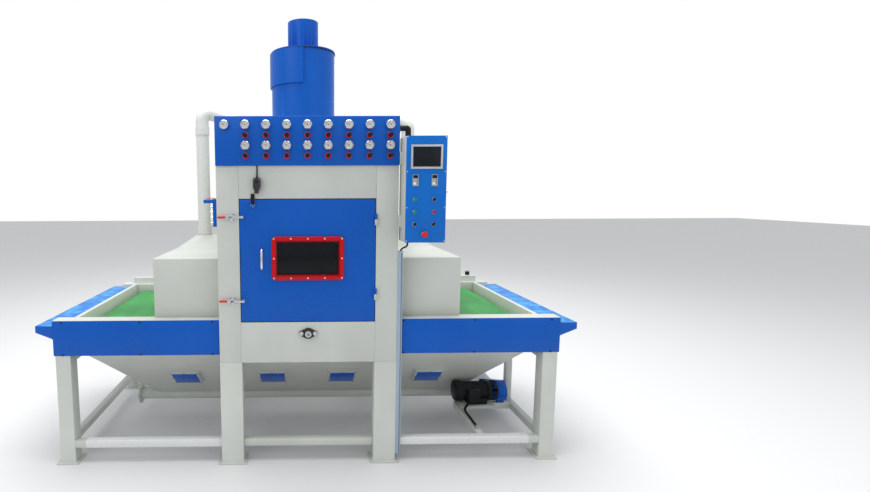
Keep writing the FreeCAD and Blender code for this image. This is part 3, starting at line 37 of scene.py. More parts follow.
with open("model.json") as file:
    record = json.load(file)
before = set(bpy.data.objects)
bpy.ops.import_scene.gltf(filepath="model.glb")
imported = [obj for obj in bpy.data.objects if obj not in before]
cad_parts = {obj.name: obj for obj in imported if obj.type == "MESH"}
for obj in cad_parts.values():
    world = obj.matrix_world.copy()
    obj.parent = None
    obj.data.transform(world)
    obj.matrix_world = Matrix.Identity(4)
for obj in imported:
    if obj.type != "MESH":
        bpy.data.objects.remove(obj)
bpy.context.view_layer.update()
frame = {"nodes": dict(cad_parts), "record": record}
MM = 0.001
MACHINE = "machine"
COATS = {}


class BlasterColours(bpy.types.PropertyGroup):
    """Colours of the machine's main finishes."""

    cream: FloatVectorProperty(
        name="Cream paint", description="Cabin, hopper, legs and tunnels",
        subtype="COLOR", default=(0.555, 0.575, 0.535), min=0, max=1)
    blue: FloatVectorProperty(
        name="Blue paint", description="Door, side skirts, gauge panel and cyclone",
        subtype="COLOR", default=(0.0, 0.092, 0.47), min=0, max=1)
    shelf_blue: FloatVectorProperty(
        name="Light blue paint", description="End shelves and console face",
        subtype="COLOR", default=(0.0, 0.14, 0.56), min=0, max=1)
    red: FloatVectorProperty(
        name="Red paint", description="Window frame and clamp grips",
        subtype="COLOR", default=(0.55, 0.0, 0.004), min=0, max=1)
    belt: FloatVectorProperty(
        name="Belt green", description="Coated wire of the belt",
        subtype="COLOR", default=(0.05, 0.46, 0.09), min=0, max=1)


class BlasterSizes(bpy.types.PropertyGroup):
    """Sizes of the fine pieces."""

    edge: FloatProperty(
        name="Sheet edge", description="Radius of the folded edges",
        subtype="DISTANCE", default=0.0022, min=0.0005, max=0.01)
    belt_pitch: FloatProperty(
        name="Belt pitch", description="Distance between the belt's cross rods",
        subtype="DISTANCE", default=0.025, min=0.01, max=0.1)
    strip_width: FloatProperty(
        name="Curtain strip width", description="Width of one strip of a curtain",
        subtype="DISTANCE", default=0.05, min=0.02, max=0.2)
    dial_marks: IntProperty(
        name="Dial marks", description="Long marks round a gauge's dial",
        default=9, min=3, max=20)


def only(item):
    """Leave one object selected and active."""
    for other in bpy.context.selected_objects:
        other.select_set(False)
    item.select_set(True)
    bpy.context.view_layer.objects.active = item
    return item


def settle(item):
    """Put the object's place, turn and size into its mesh."""
    only(item)
    bpy.ops.object.transform_apply(location=True, rotation=True, scale=True)
    return item


def coat(item, name):
    """Give an object one finish."""
    item.data.materials.clear()
    item.data.materials.append(COATS[name])
    return item


def apply_modifier(item, kind, **settings):
    """Add a modifier with these settings and apply it."""
    only(item)
    modifier = item.modifiers.new(kind.title(), kind)
    for key, setting in settings.items():
        setattr(modifier, key, setting)
    bpy.ops.object.modifier_apply(modifier=modifier.name)
    return item


def round_edges(item, width, segments=2, angle=35):
    """Bevel the sharp edges, in millimetres, and shade the rest smooth."""
    apply_modifier(item, "BEVEL", width=width * MM, segments=segments, limit_method="ANGLE",
                   angle_limit=math.radians(angle), use_clamp_overlap=True)
    only(item)
    bpy.ops.object.shade_smooth_by_angle(angle=math.radians(angle))
    return item


def block(low, high, finish, edge=0.0, segments=2):
    """A block between two corners, in millimetres."""
    low = Vector(low) * MM
    high = Vector(high) * MM
    bpy.ops.mesh.primitive_cube_add(size=1, location=(low + high) / 2, scale=high - low)
    item = settle(bpy.context.object)
    if edge:
        round_edges(item, edge, segments)
    return coat(item, finish)


def aim(item, start, direction):
    """Turn an object's Z axis to a direction and put its origin at a place in millimetres."""
    item.rotation_euler = Vector(direction).to_track_quat("Z", "Y").to_euler()
    item.location = Vector(start) * MM
    return settle(item)


def turned(start, direction, stations, finish, sides=32, angle=35):
    """A round piece drawn out of a disc. Each station is a distance and a radius in millimetres."""
    place, radius = stations[0]
    bpy.ops.mesh.primitive_circle_add(vertices=sides, radius=radius * MM, fill_type="NGON",
                                      location=(0, 0, place * MM))
    item = settle(bpy.context.object)
    bpy.ops.object.mode_set(mode="EDIT")
    bpy.ops.mesh.select_all(action="SELECT")
    for next_place, next_radius in stations[1:]:
        bpy.ops.mesh.extrude_region_move(
            TRANSFORM_OT_translate={"value": (0, 0, (next_place - place) * MM)})
        scale = next_radius / radius
        if abs(scale - 1) > 1e-6:
            bpy.ops.transform.resize(value=(scale, scale, 1), center_override=(0, 0, next_place * MM))
        place = next_place
        radius = next_radius
    bpy.ops.mesh.select_all(action="SELECT")
    bpy.ops.mesh.normals_make_consistent(inside=False)
    bpy.ops.object.mode_set(mode="OBJECT")
    only(item)
    bpy.ops.object.shade_smooth_by_angle(angle=math.radians(angle))
    return coat(aim(item, start, direction), finish)


def rod(start, end, radius, finish, sides=20):
    """A plain round bar with slightly broken ends."""
    start = Vector(start)
    span = Vector(end) - start
    lip = min(radius * 0.12, span.length * 0.1)
    stations = [(0, radius - lip), (lip, radius), (span.length - lip, radius), (span.length, radius - lip)]
    return turned(start, span, stations, finish, sides)


def tube(points, radius, finish, sides=12, order=3):
    """A hose or pipe along a smooth line through route points in millimetres."""
    curve = bpy.data.curves.new("route", "CURVE")
    curve.dimensions = "3D"
    spline = curve.splines.new("NURBS")
    spline.points.add(len(points) - 1)
    for target, place in zip(spline.points, points):
        target.co = (*(Vector(place) * MM), 1)
    spline.order_u = order
    spline.use_endpoint_u = True
    spline.resolution_u = 8
    curve.bevel_depth = radius * MM
    curve.bevel_resolution = max(1, sides // 4 - 1)
    curve.use_fill_caps = True
    item = bpy.data.objects.new("route", curve)
    bpy.context.collection.objects.link(item)
    only(item)
    bpy.ops.object.convert(target="MESH")
    item = bpy.context.object
    bpy.ops.object.shade_smooth_by_angle(angle=math.radians(50))
    return coat(item, finish)


def copy_of(item):
    """A copy of an object with its own mesh."""
    only(item)
    bpy.ops.object.duplicate(linked=False)
    return bpy.context.object


def moved(item, offset):
    """The same object, moved by millimetres."""
    item.location = Vector(offset) * MM
    return settle(item)


def set_out(item, offsets):
    """The object moved to the first offset, and a copy of it at each other one."""
    copies = [moved(copy_of(item), offset) for offset in offsets[1:]]
    return [moved(item, offsets[0])] + copies


def mirrored(item, axis):
    """A mirror image of an object across the middle of an axis."""
    image = copy_of(item)
    image.scale["xyz".index(axis)] = -1
    settle(image)
    bpy.ops.object.mode_set(mode="EDIT")
    bpy.ops.mesh.select_all(action="SELECT")
    bpy.ops.mesh.flip_normals()
    bpy.ops.object.mode_set(mode="OBJECT")
    return image


def to_rear(item):
    """A copy turned half a turn about the vertical, for the rear side."""
    image = copy_of(item)
    image.rotation_euler = (0, 0, math.pi)
    return settle(image)


def joined(name, items):
    """One named object out of several."""
    only(items[0])
    for item in items:
        item.select_set(True)
    if len(items) > 1:
        bpy.ops.object.join()
    result = bpy.context.object
    result.name = name
    result.data.name = name
    return result


def place(name, items, body=MACHINE, slot=None, stands_for=()):
    """Join pieces under a name, and tie them to a body and the nodes they replace. The slot argument is not
    used.
    """
    piece = joined(name, items if isinstance(items, list) else [items])
    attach(piece, body)
    if stands_for:
        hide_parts(*([stands_for] if isinstance(stands_for, str) else stands_for))
    return piece


def cad_copy(node):
    """A merged copy of a frame node, ready to be rounded."""
    source = frame["nodes"][node]
    data = source.data.copy()
    item = bpy.data.objects.new("copy_" + node, data)
    bpy.context.collection.objects.link(item)
    only(item)
    bpy.ops.object.mode_set(mode="EDIT")
    bpy.ops.mesh.select_all(action="SELECT")
    bpy.ops.mesh.remove_doubles(threshold=1e-5)
    bpy.ops.mesh.dissolve_limited(angle_limit=math.radians(0.5))
    bpy.ops.object.mode_set(mode="OBJECT")
    return item


def bolt_heads(places, direction, across, finish, high=None):
    """Hexagon heads on washers at places in millimetres."""
    high = high or across * 0.4
    washer = turned((0, 0, 0), direction, [(0, across * 0.95), (across * 0.12, across * 0.95)], finish, 16)
    head = turned((0, 0, 0), direction, [(across * 0.12, across * 0.58), (high * 0.85, across * 0.58),
                                         (high, across * 0.48)], finish, 6)
    return set_out(joined("bolt", [washer, head]), places)


def dome_heads(places, direction, radius, finish):
    """Round screw heads at places in millimetres."""
    head = turned((0, 0, 0), direction, [(0, radius), (radius * 0.35, radius * 0.9),
                                         (radius * 0.6, radius * 0.5)],
                  finish, 10, 60)
    return set_out(head, places)


def spun(item, axis, degrees, offset=(0, 0, 0)):
    """An object turned about one axis through the middle, then moved by millimetres."""
    item.rotation_euler[axis] = math.radians(degrees)
    item.location = Vector(offset) * MM
    return settle(item)


def figure(number, high):
    """A flat number that faces the front, its height in millimetres."""
    bpy.ops.object.text_add()
    item = bpy.context.object
    item.data.body = number
    item.data.size = high * MM
    item.data.align_x = "CENTER"
    item.data.align_y = "CENTER"
    item.data.resolution_u = 2
    item.data.extrude = 0.0001
    only(item)
    bpy.ops.object.convert(target="MESH")
    item = bpy.context.object
    item.rotation_euler = (math.pi / 2, 0, 0)
    return coat(settle(item), "screen_black")


def tray(low, high, rim, sunk, finish, edge=0.8):
    """A block whose front face is sunk inside a rim, in millimetres."""
    item = block(low, high, finish)
    for polygon in item.data.polygons:
        polygon.select = polygon.normal.y < -0.9
    for edge_line in item.data.edges:
        edge_line.select = False
    for corner in item.data.vertices:
        corner.select = corner.co.y < low[1] * MM + 1e-5
    only(item)
    bpy.ops.object.mode_set(mode="EDIT")
    bpy.ops.mesh.select_mode(type="FACE")
    bpy.ops.mesh.inset(thickness=rim * MM)
    bpy.ops.mesh.extrude_region_move(TRANSFORM_OT_translate={"value": (0, sunk * MM, 0)})
    bpy.ops.object.mode_set(mode="OBJECT")
    return round_edges(item, edge)


def corrugated(points, radius, groove):
    """A ribbed hose: every other ring of a tube drawn in by the groove's depth."""
    ring = 16
    item = tube(points, radius, "black_rubber", ring)
    corners = item.data.vertices
    for start in range(0, len(corners) - ring + 1, ring):
        if start // ring % 2:
            middle = sum((corners[start + step].co for step in range(ring)), Vector()) / ring
            for step in range(ring):
                reach = corners[start + step].co - middle
                corners[start + step].co = middle + reach * (1 - groove / radius)
    return item


def front_and_rear(name, items, body, slot, stands_for=None):
    """A piece on the front, and the same piece half a turn round on the rear."""
    piece = joined("front-" + name, items if isinstance(items, list) else [items])
    image = to_rear(piece)
    place("front-" + name, piece, body, slot, stands_for or ())
    place("rear-" + name, image, body.replace("front_", "rear_"), slot,
          stands_for.replace("front_", "rear_") if stands_for else ())


class Graph:
    """Adds and links the nodes of one shader tree."""

    def __init__(self, tree):
        self.tree = tree

    def add(self, kind, **settings):
        made = self.tree.nodes.new(kind)
        for key, setting in settings.items():
            if key.startswith("in_"):
                made.inputs[int(key[3:])].default_value = setting
            else:
                setattr(made, key, setting)
        return made

    def link(self, source, target):
        self.tree.links.new(source, target)

    def noise(self, coordinates, scale, detail=3.0, stretch=(1, 1, 1)):
        """Noise at a scale in cycles a metre, stretched along the axes."""
        spread = self.add("ShaderNodeMapping")
        spread.inputs["Scale"].default_value = stretch
        self.link(coordinates, spread.inputs["Vector"])
        field = self.add("ShaderNodeTexNoise")
        field.inputs["Scale"].default_value = scale
        field.inputs["Detail"].default_value = detail
        self.link(spread.outputs["Vector"], field.inputs["Vector"])
        return field.outputs["Fac"]

    def ranged(self, source, low, high, to_low, to_high):
        """A value moved from one range to another, clamped."""
        fit = self.add("ShaderNodeMapRange")
        for index, number in enumerate((low, high, to_low, to_high), 1):
            fit.inputs[index].default_value = number
        self.link(source, fit.inputs[0])
        return fit.outputs[0]

    def maths(self, operation, first, second):
        """One sum on two sockets or numbers."""
        step = self.add("ShaderNodeMath", operation=operation)
        for socket, source in zip(step.inputs, (first, second)):
            if isinstance(source, (int, float)):
                socket.default_value = source
            else:
                self.link(source, socket)
        return step.outputs[0]

    def mixed(self, factor, first, second, blend="MIX"):
        """Two colours mixed by a factor."""
        mix = self.add("ShaderNodeMix", data_type="RGBA", blend_type=blend)
        for socket, source in ((mix.inputs[0], factor), (mix.inputs[6], first), (mix.inputs[7], second)):
            if isinstance(source, (int, float)):
                socket.default_value = source
            elif isinstance(source, tuple):
                socket.default_value = (*source, 1)
            else:
                self.link(source, socket)
        return mix.outputs[2]


def new_group(name, inputs, outputs):
    """A shader node group with named sockets, its inner nodes still to be added."""
    tree = bpy.data.node_groups.new(name, "ShaderNodeTree")
    for label, kind, default in inputs:
        socket = tree.interface.new_socket(label, in_out="INPUT", socket_type=kind)
        socket.default_value = default
    for label, kind in outputs:
        tree.interface.new_socket(label, in_out="OUTPUT", socket_type=kind)
    graph = Graph(tree)
    return tree, graph, graph.add("NodeGroupInput"), graph.add("NodeGroupOutput")


def paint_group():
    """Powder coat: slight unevenness, dust on what faces up, and fine orange peel. The same up-facing mix
    also serves as a painted highlight on the tops of the end shelves.
    """
    tree, graph, given, result = new_group("Powder Coat", [
        ("Paint", "NodeSocketColor", (0.5, 0.5, 0.5, 1)),
        ("Dust And Top Light", "NodeSocketFloat", 0.15),
        ("Grime", "NodeSocketFloat", 0.12),
        ("Gloss", "NodeSocketFloat", 0.38),
        ("Dust And Top Light Colour", "NodeSocketColor", (0.62, 0.63, 0.62, 1)),
    ], [("Colour", "NodeSocketColor"), ("Roughness", "NodeSocketFloat"), ("Height", "NodeSocketFloat")])
    place_on = graph.add("ShaderNodeTexCoord").outputs["Object"]
    broad = graph.noise(place_on, 2.3, 4)
    streak = graph.noise(place_on, 7.0, 5, (1, 1, 0.12))
    fine = graph.noise(place_on, 420, 2)
    uneven = graph.ranged(broad, 0.3, 0.7, 0.94, 1.05)
    tone = graph.mixed(1.0, given.outputs["Paint"], uneven, "MULTIPLY")
    grime = graph.maths("MULTIPLY", graph.ranged(streak, 0.5, 0.78, 0, 1), given.outputs["Grime"])
    tone = graph.mixed(grime, tone, (0.16, 0.145, 0.12))
    facing = graph.add("ShaderNodeSeparateXYZ")
    graph.link(graph.add("ShaderNodeNewGeometry").outputs["Normal"], facing.inputs[0])
    # Up-facing mask: real dust for most paints, and a painted top highlight for the end shelves, whose tops
    # take the light blue mix at full strength.
    upward = graph.ranged(facing.outputs["Z"], 0.5, 0.95, 0, 1)
    patch = graph.ranged(graph.noise(place_on, 14, 6), 0.38, 0.7, 0.15, 1)
    dust_and_top_light = graph.maths("MULTIPLY", graph.maths("MULTIPLY", upward, patch), given.outputs["Dust And Top Light"])
    graph.link(graph.mixed(dust_and_top_light, tone, given.outputs["Dust And Top Light Colour"]), result.inputs["Colour"])
    rough = graph.maths("ADD", given.outputs["Gloss"], graph.ranged(broad, 0.3, 0.7, -0.05, 0.07))
    graph.link(graph.maths("ADD", rough, graph.maths("MULTIPLY", dust_and_top_light, 0.4)), result.inputs["Roughness"])
    graph.link(fine, result.inputs["Height"])
    return tree


def metal_group():
    """Worked metal: stains and a fine grain."""
    tree, graph, given, result = new_group("Worked Metal", [
        ("Metal", "NodeSocketColor", (0.6, 0.6, 0.6, 1)),
        ("Stain Colour", "NodeSocketColor", (0.2, 0.15, 0.1, 1)),
        ("Stain", "NodeSocketFloat", 0.2),
        ("Gloss", "NodeSocketFloat", 0.3),
        ("Grain", "NodeSocketFloat", 300.0),
    ], [("Colour", "NodeSocketColor"), ("Roughness", "NodeSocketFloat"), ("Height", "NodeSocketFloat")])
    place_on = graph.add("ShaderNodeTexCoord").outputs["Object"]
    spots = graph.noise(place_on, 60, 5)
    stain = graph.maths("MULTIPLY", graph.ranged(spots, 0.5, 0.72, 0, 1), given.outputs["Stain"])
    graph.link(graph.mixed(stain, given.outputs["Metal"], given.outputs["Stain Colour"]),
               result.inputs["Colour"])
    grain = graph.add("ShaderNodeTexNoise")
    graph.link(place_on, grain.inputs["Vector"])
    graph.link(given.outputs["Grain"], grain.inputs["Scale"])
    rough = graph.maths("ADD", given.outputs["Gloss"],
                        graph.ranged(grain.outputs["Fac"], 0.3, 0.7, -0.06, 0.1))
    graph.link(graph.maths("ADD", rough, graph.maths("MULTIPLY", stain, 0.35)), result.inputs["Roughness"])
    graph.link(grain.outputs["Fac"], result.inputs["Height"])
    return tree


def finish_with(name, tree, values, bump=0.0, depth=0.0002, **settings):
    """A material that takes colour, roughness and height from a group."""
    material = bpy.data.materials.new(name)
    material.use_nodes = True
    graph = Graph(material.node_tree)
    shader = material.node_tree.nodes["Principled BSDF"]
    made = graph.add("ShaderNodeGroup", node_tree=tree)
    for label, value in values.items():
        made.inputs[label].default_value = (*value, 1) if isinstance(value, tuple) else value
    graph.link(made.outputs["Colour"], shader.inputs["Base Color"])
    graph.link(made.outputs["Roughness"], shader.inputs["Roughness"])
    if bump:
        relief = graph.add("ShaderNodeBump")
        relief.inputs["Strength"].default_value = bump
        relief.inputs["Distance"].default_value = depth
        graph.link(made.outputs["Height"], relief.inputs["Height"])
        graph.link(relief.outputs["Normal"], shader.inputs["Normal"])
    for label, value in settings.items():
        shader.inputs[label.replace("_", " ")].default_value = value
    COATS[name] = material
    return material


def moulded(name, colour, gloss, stain=0.15, grain=500.0, bump=0.15, **settings):
    """Plastic, rubber or dull metal out of the worked metal group."""
    dark = tuple(part * 0.6 for part in colour)
    return finish_with(name, bpy.data.node_groups["Worked Metal"], {
        "Metal": tuple(colour), "Stain Colour": dark, "Stain": stain, "Gloss": gloss, "Grain": grain},
        bump, 0.0002, **settings)


def belt_weave():
    """Green coated wire: rows along the belt and coils across it, with painted shade in the gaps between the
    wires.
    """
    colours = bpy.context.scene.blaster_colours
    tree, graph, given, result = new_group("Belt Weave", [
        ("Wire", "NodeSocketColor", (0.1, 0.5, 0.1, 1)),
        ("Painted Gap Shade", "NodeSocketColor", (0.0, 0.08, 0.02, 1)),
    ], [("Colour", "NodeSocketColor"), ("Roughness", "NodeSocketFloat"), ("Height", "NodeSocketFloat")])
    place_on = graph.add("ShaderNodeTexCoord").outputs["Object"]
    split = graph.add("ShaderNodeSeparateXYZ")
    graph.link(place_on, split.inputs[0])
    along = graph.maths("MULTIPLY", split.outputs["X"], 2 * math.pi / 0.0125)
    across = graph.maths("MULTIPLY", split.outputs["Y"], 2 * math.pi / 0.010)
    zigzag = graph.maths("ADD", across, graph.maths("MULTIPLY", graph.maths("SINE", along, 0), 1.6))
    coil = graph.ranged(graph.maths("SINE", zigzag, 0), -0.5, 0.8, 0, 1)
    row = graph.ranged(graph.maths("COSINE", along, 0), 0.2, 0.9, 0, 1)
    wire = graph.maths("MAXIMUM", coil, row)
    bands = graph.ranged(graph.noise(place_on, 9, 3, (1, 0.35, 1)), 0.35, 0.65, 0.72, 1.2)
    tone = graph.mixed(1.0, given.outputs["Wire"], bands, "MULTIPLY")
    # Between the wires the colour is dark green: painted shade for the shaded depth seen through the mesh.
    graph.link(graph.mixed(wire, given.outputs["Painted Gap Shade"], tone), result.inputs["Colour"])
    graph.link(graph.ranged(wire, 0, 1, 0.75, 0.38), result.inputs["Roughness"])
    graph.link(wire, result.inputs["Height"])
    finish_with("belt_green", tree, {"Wire": tuple(colours.belt), "Painted Gap Shade": (0.0, 0.07, 0.015)}, 0.8, 0.002)


class BLASTER_OT_finishes(bpy.types.Operator):
    """Make every finish, and give the frame's nodes theirs"""

    bl_idname = "blaster.finishes"
    bl_label = "Finishes"

    def execute(self, context):
        colours = context.scene.blaster_colours
        coatings = paint_group()
        metals = metal_group()
        for name, paint, dust_and_top_light, grime, gloss in (
                ("cream_paint", colours.cream, 0.12, 0.06, 0.42),
                ("blue_paint", colours.blue, 0.10, 0.03, 0.30),
                ("console_blue", colours.shelf_blue, 0.05, 0.02, 0.34),
                ("window_red", colours.red, 0.06, 0.02, 0.28),
                ("black_paint", (0.006, 0.009, 0.009), 0.06, 0.02, 0.45)):
            finish_with(name, coatings, {"Paint": tuple(paint), "Dust And Top Light": dust_and_top_light, "Grime": grime, "Gloss": gloss},
                        0.12, 0.00015, Specular_IOR_Level=0.5 if name == "cream_paint" else 0.22)
        # End shelves: dark blue paint with their up-facing tops painted light blue, a painted highlight of
        # the light from above, through the dust mask at full strength.
        finish_with("shelf_blue", coatings, {"Paint": tuple(colours.blue), "Dust And Top Light": 1.0, "Grime": 0.04,
                                             "Gloss": 0.36,
                                             "Dust And Top Light Colour": (0.10, 0.38,
                                                             0.66)}, 0.12, 0.00015, Specular_IOR_Level=0.3)
        for name, metal, stain, gloss in (
                ("bright_steel", (0.62, 0.63, 0.64), 0.2, 0.28),
                ("chrome_trim", (0.78, 0.78, 0.79), 0.05, 0.12),
                ("gun_alloy", (0.60, 0.60, 0.61), 0.15, 0.36),
                ("copper_rod", (0.62, 0.36, 0.20), 0.4, 0.34),
                ("yellow_zinc", (0.66, 0.55, 0.28), 0.35, 0.3)):
            finish_with(name, metals, {"Metal": metal, "Stain Colour": (0.25, 0.2, 0.15), "Stain": stain,
                                       "Gloss": gloss, "Grain": 260.0}, 0.08, 0.0001, Metallic=1.0)
        moulded("dark_steel", (0.03, 0.03, 0.033), 0.42, Specular_IOR_Level=0.3)
        moulded("black_rubber", (0.008, 0.008, 0.009), 0.5, Specular_IOR_Level=0.25)
        moulded("grey_plastic", (0.36, 0.38, 0.41), 0.5)
        moulded("white_pvc", (0.72, 0.73, 0.70), 0.32, 0.25)
        moulded("cream_strip", (0.72, 0.66, 0.50), 0.5, 0.2)
        moulded("gauge_face", (0.60, 0.61, 0.63), 0.35, 0.05)
        moulded("red_grip", (0.62, 0.0, 0.004), 0.3, 0.05)
        moulded("green_cap", (0.0, 0.22, 0.06), 0.3, 0.05)
        moulded("red_cap", (0.35, 0.0, 0.004), 0.3, 0.05)
        moulded("trunk_grey", (0.33, 0.42, 0.52), 0.45, 0.1)
        moulded("screen_black", (0.006, 0.009, 0.014), 0.2, 0.05, 100, 0, Specular_IOR_Level=0.2)
        moulded("white_plastic", (0.8, 0.8, 0.78), 0.35, 0.05)
        moulded("clear_hose", (0.55, 0.62, 0.66), 0.15, 0.1)
        moulded("wrap_film", (0.72, 0.73, 0.72), 0.3, 0.2, 90, 0.5)
        # Window glass: nearly black and mostly opaque, painted shade standing in for the unlit cabin seen
        # through the window.
        glass = finish_with("clear_glass", metals, {"Metal": (0.004, 0.006, 0.008),
                                                    "Stain Colour": (0.03, 0.03, 0.03),
                                                    "Stain": 0.1, "Gloss": 0.08, "Grain": 40.0},
                            Specular_IOR_Level=0.2)
        glass.node_tree.nodes["Principled BSDF"].inputs["Alpha"].default_value = 0.82
        belt_weave()
        for part in frame["record"]["subparts"]:
            coat(frame["nodes"][part["node"]], self.finish_of(part))
        return {"FINISHED"}

    def finish_of(self, part):
        """The finish made here for a node's slot in the record."""
        slot = part["material_slot"]
        return slot if slot in COATS else {"green_belt": "belt_green"}.get(slot, "cream_paint")


ROUNDED = {
    "door_jambs": 1.4, "cabin_faces": 1.4, "side_walls": 1.4, "cabin_roof": 1.4, "machine_legs": 1.4,
    "frame_stretchers": 1.4, "drive_frame": 1, "side_rails": 1.2, "side_skirts": 0.6, "end_walls": 1,
    "end_shelves": 1, "belt_tunnels": 1.4, "tunnel_hoods": 1, "gauge_panel": 1, "front_window_frame": 1.2,
    "rear_window_frame": 1.2, "console_box": 1.2, "console_plate": 0.4, "front_door_leaf": 0.7,
    "rear_door_leaf": 0.7, "front_door_handle": 0, "rear_door_handle": 0, "fixed_hinges": 0.3,
    "clamp_bases": 0.3, "front_upper_clamp_arm": 0.3, "front_lower_clamp_arm": 0.3,
    "rear_upper_clamp_arm": 0.3, "rear_lower_clamp_arm": 0.3, "extraction_ducts": 0, "cyclone_body": 0,
    "cyclone_outlet": 0, "grit_hopper": 0.8, "screw_conveyor": 0, "screw_motor": 0.3, "belt_guard": 0.3,
    "drive_pulleys": 0, "belt_rollers": 0, "belt_bed": 0.4, "mesh_belt": 0, "flange_bearings": 0.6,
    "door_switch": 0.9, "air_manifold": 0.9, "gun_frames": 0.2, "distribution_box": 0.4,
    "cable_trunking": 0.6, "front_window_glass": 0.2, "rear_window_glass": 0.2,
}
REPAINTED = {"door_switch": "dark_steel", "cable_trunking": "trunk_grey", "console_plate": "console_blue"}


class BLASTER_OT_sheet_metal(bpy.types.Operator):
    """Round the edges of the folded and welded sheet pieces"""

    bl_idname = "blaster.sheet_metal"
    bl_label = "Sheet metal"

    def execute(self, context):
        slots = {part["node"]: part["material_slot"] for part in frame["record"]["subparts"]}
        owners = {node: body for body, nodes in frame["record"]["behaviour"]["bodies"].items()
                  for node in nodes}
        edge = context.scene.blaster_sizes.edge / MM
        for node, share in ROUNDED.items():
            item = cad_copy(node)
            if share:
                round_edges(item, edge * share)
            else:
                only(item)
                bpy.ops.object.shade_smooth_by_angle(angle=math.radians(35))
            if node in REPAINTED:
                coat(item, REPAINTED[node])
            place(node.replace("_", "-") + "-shell", item, owners[node], slots[node], node)
        return {"FINISHED"}


FRONT = (0, -1, 0)
UP = (0, 0, 1)
GAUGE_PITCH = 134
UPPER_GAUGES = 2304
LOWER_GAUGES = 2173
REGULATOR_DROP = 66
DRUM_X = 1497
DRUM_Z = 877
ROD_REACH = 82.4
ROD_HALF = 586
ROD_R = 2
CURTAIN_HALF = 620
SCREW_Y = 150
SCREW_Z = 148
FLANGE_BOLTS_R = 74
NEAR_FLANGE = 1462
FAR_FLANGE = -1424.2
CYCLONE_X = -20
CYCLONE_BOLTS_R = 258
GUNS = [(240 * (column - 1.5), 300 * (row - 1.5), column, row) for row in range(4) for column in range(4)]


class BLASTER_OT_gauges(bpy.types.Operator):
    """Pressure gauges with their dials, and the regulators under them"""

    bl_idname = "blaster.gauges"
    bl_label = "Gauges"

    def execute(self, context):
        marks = context.scene.blaster_sizes.dial_marks
        face = (0, -762, 0)
        places = [(GAUGE_PITCH * column, 0, UPPER_GAUGES) for column in range(-4, 5)]
        places += [(GAUGE_PITCH * column, 0, LOWER_GAUGES) for column in range(-3, 5)]
        bezel = turned(face, FRONT, [(0, 27), (2, 30), (20, 30), (24, 28.5), (26, 26), (24.5, 24.8),
                                     (21, 24.4)],
                       "chrome_trim", 36)
        place("gauge-bezels", set_out(bezel, places), slot="chrome_trim", stands_for="gauges_and_regulators")
        dial = turned(face, FRONT, [(20.8, 24.6), (21.6, 24.6)], "gauge_face", 28)
        place("gauge-dials", set_out(dial, places), slot="gauge_face")
        ink = []
        last = marks * 2 - 2
        for index in range(last + 1):
            angle = -135 + 270 * index / last
            inner = 17 if index % 2 == 0 else 19.5
            ink.append(spun(block((-0.5, -784.1, inner), (0.5, -783.5, 22.5), "screen_black"), 1, angle))
            if index % 4 == 0:
                digit = figure(str(index // 2), 5.5)
                turn = math.radians(angle)
                ink.append(moved(digit, (13 * math.sin(turn), -783.9, 13 * math.cos(turn))))
        ink.append(spun(block((-0.8, -784.9, -6), (0.8, -784.3, 16), "screen_black"), 1, -60))
        ink.append(turned((0, -783.5, 0), FRONT, [(0, 3.2), (2, 3.2), (2.6, 2)], "screen_black", 12))
        place("gauge-marks", set_out(joined("ink", ink), places), slot="screen_black")
        under = [(x, y, z - REGULATOR_DROP) for x, y, z in places[1:]]
        collar = turned(face, FRONT, [(0, 19), (1.5, 20), (10, 20), (12, 18.2)], "red_grip", 28)
        place("regulator-collars", set_out(collar, under), slot="red_grip")
        knob = turned(face, FRONT, [(11.5, 12), (13, 14), (30, 14), (31, 13), (33, 13), (34, 14), (49, 13.6),
                                    (52, 11)],
                      "black_rubber", 18, 12)
        place("regulator-knobs", set_out(knob, under), slot="black_rubber")
        return {"FINISHED"}


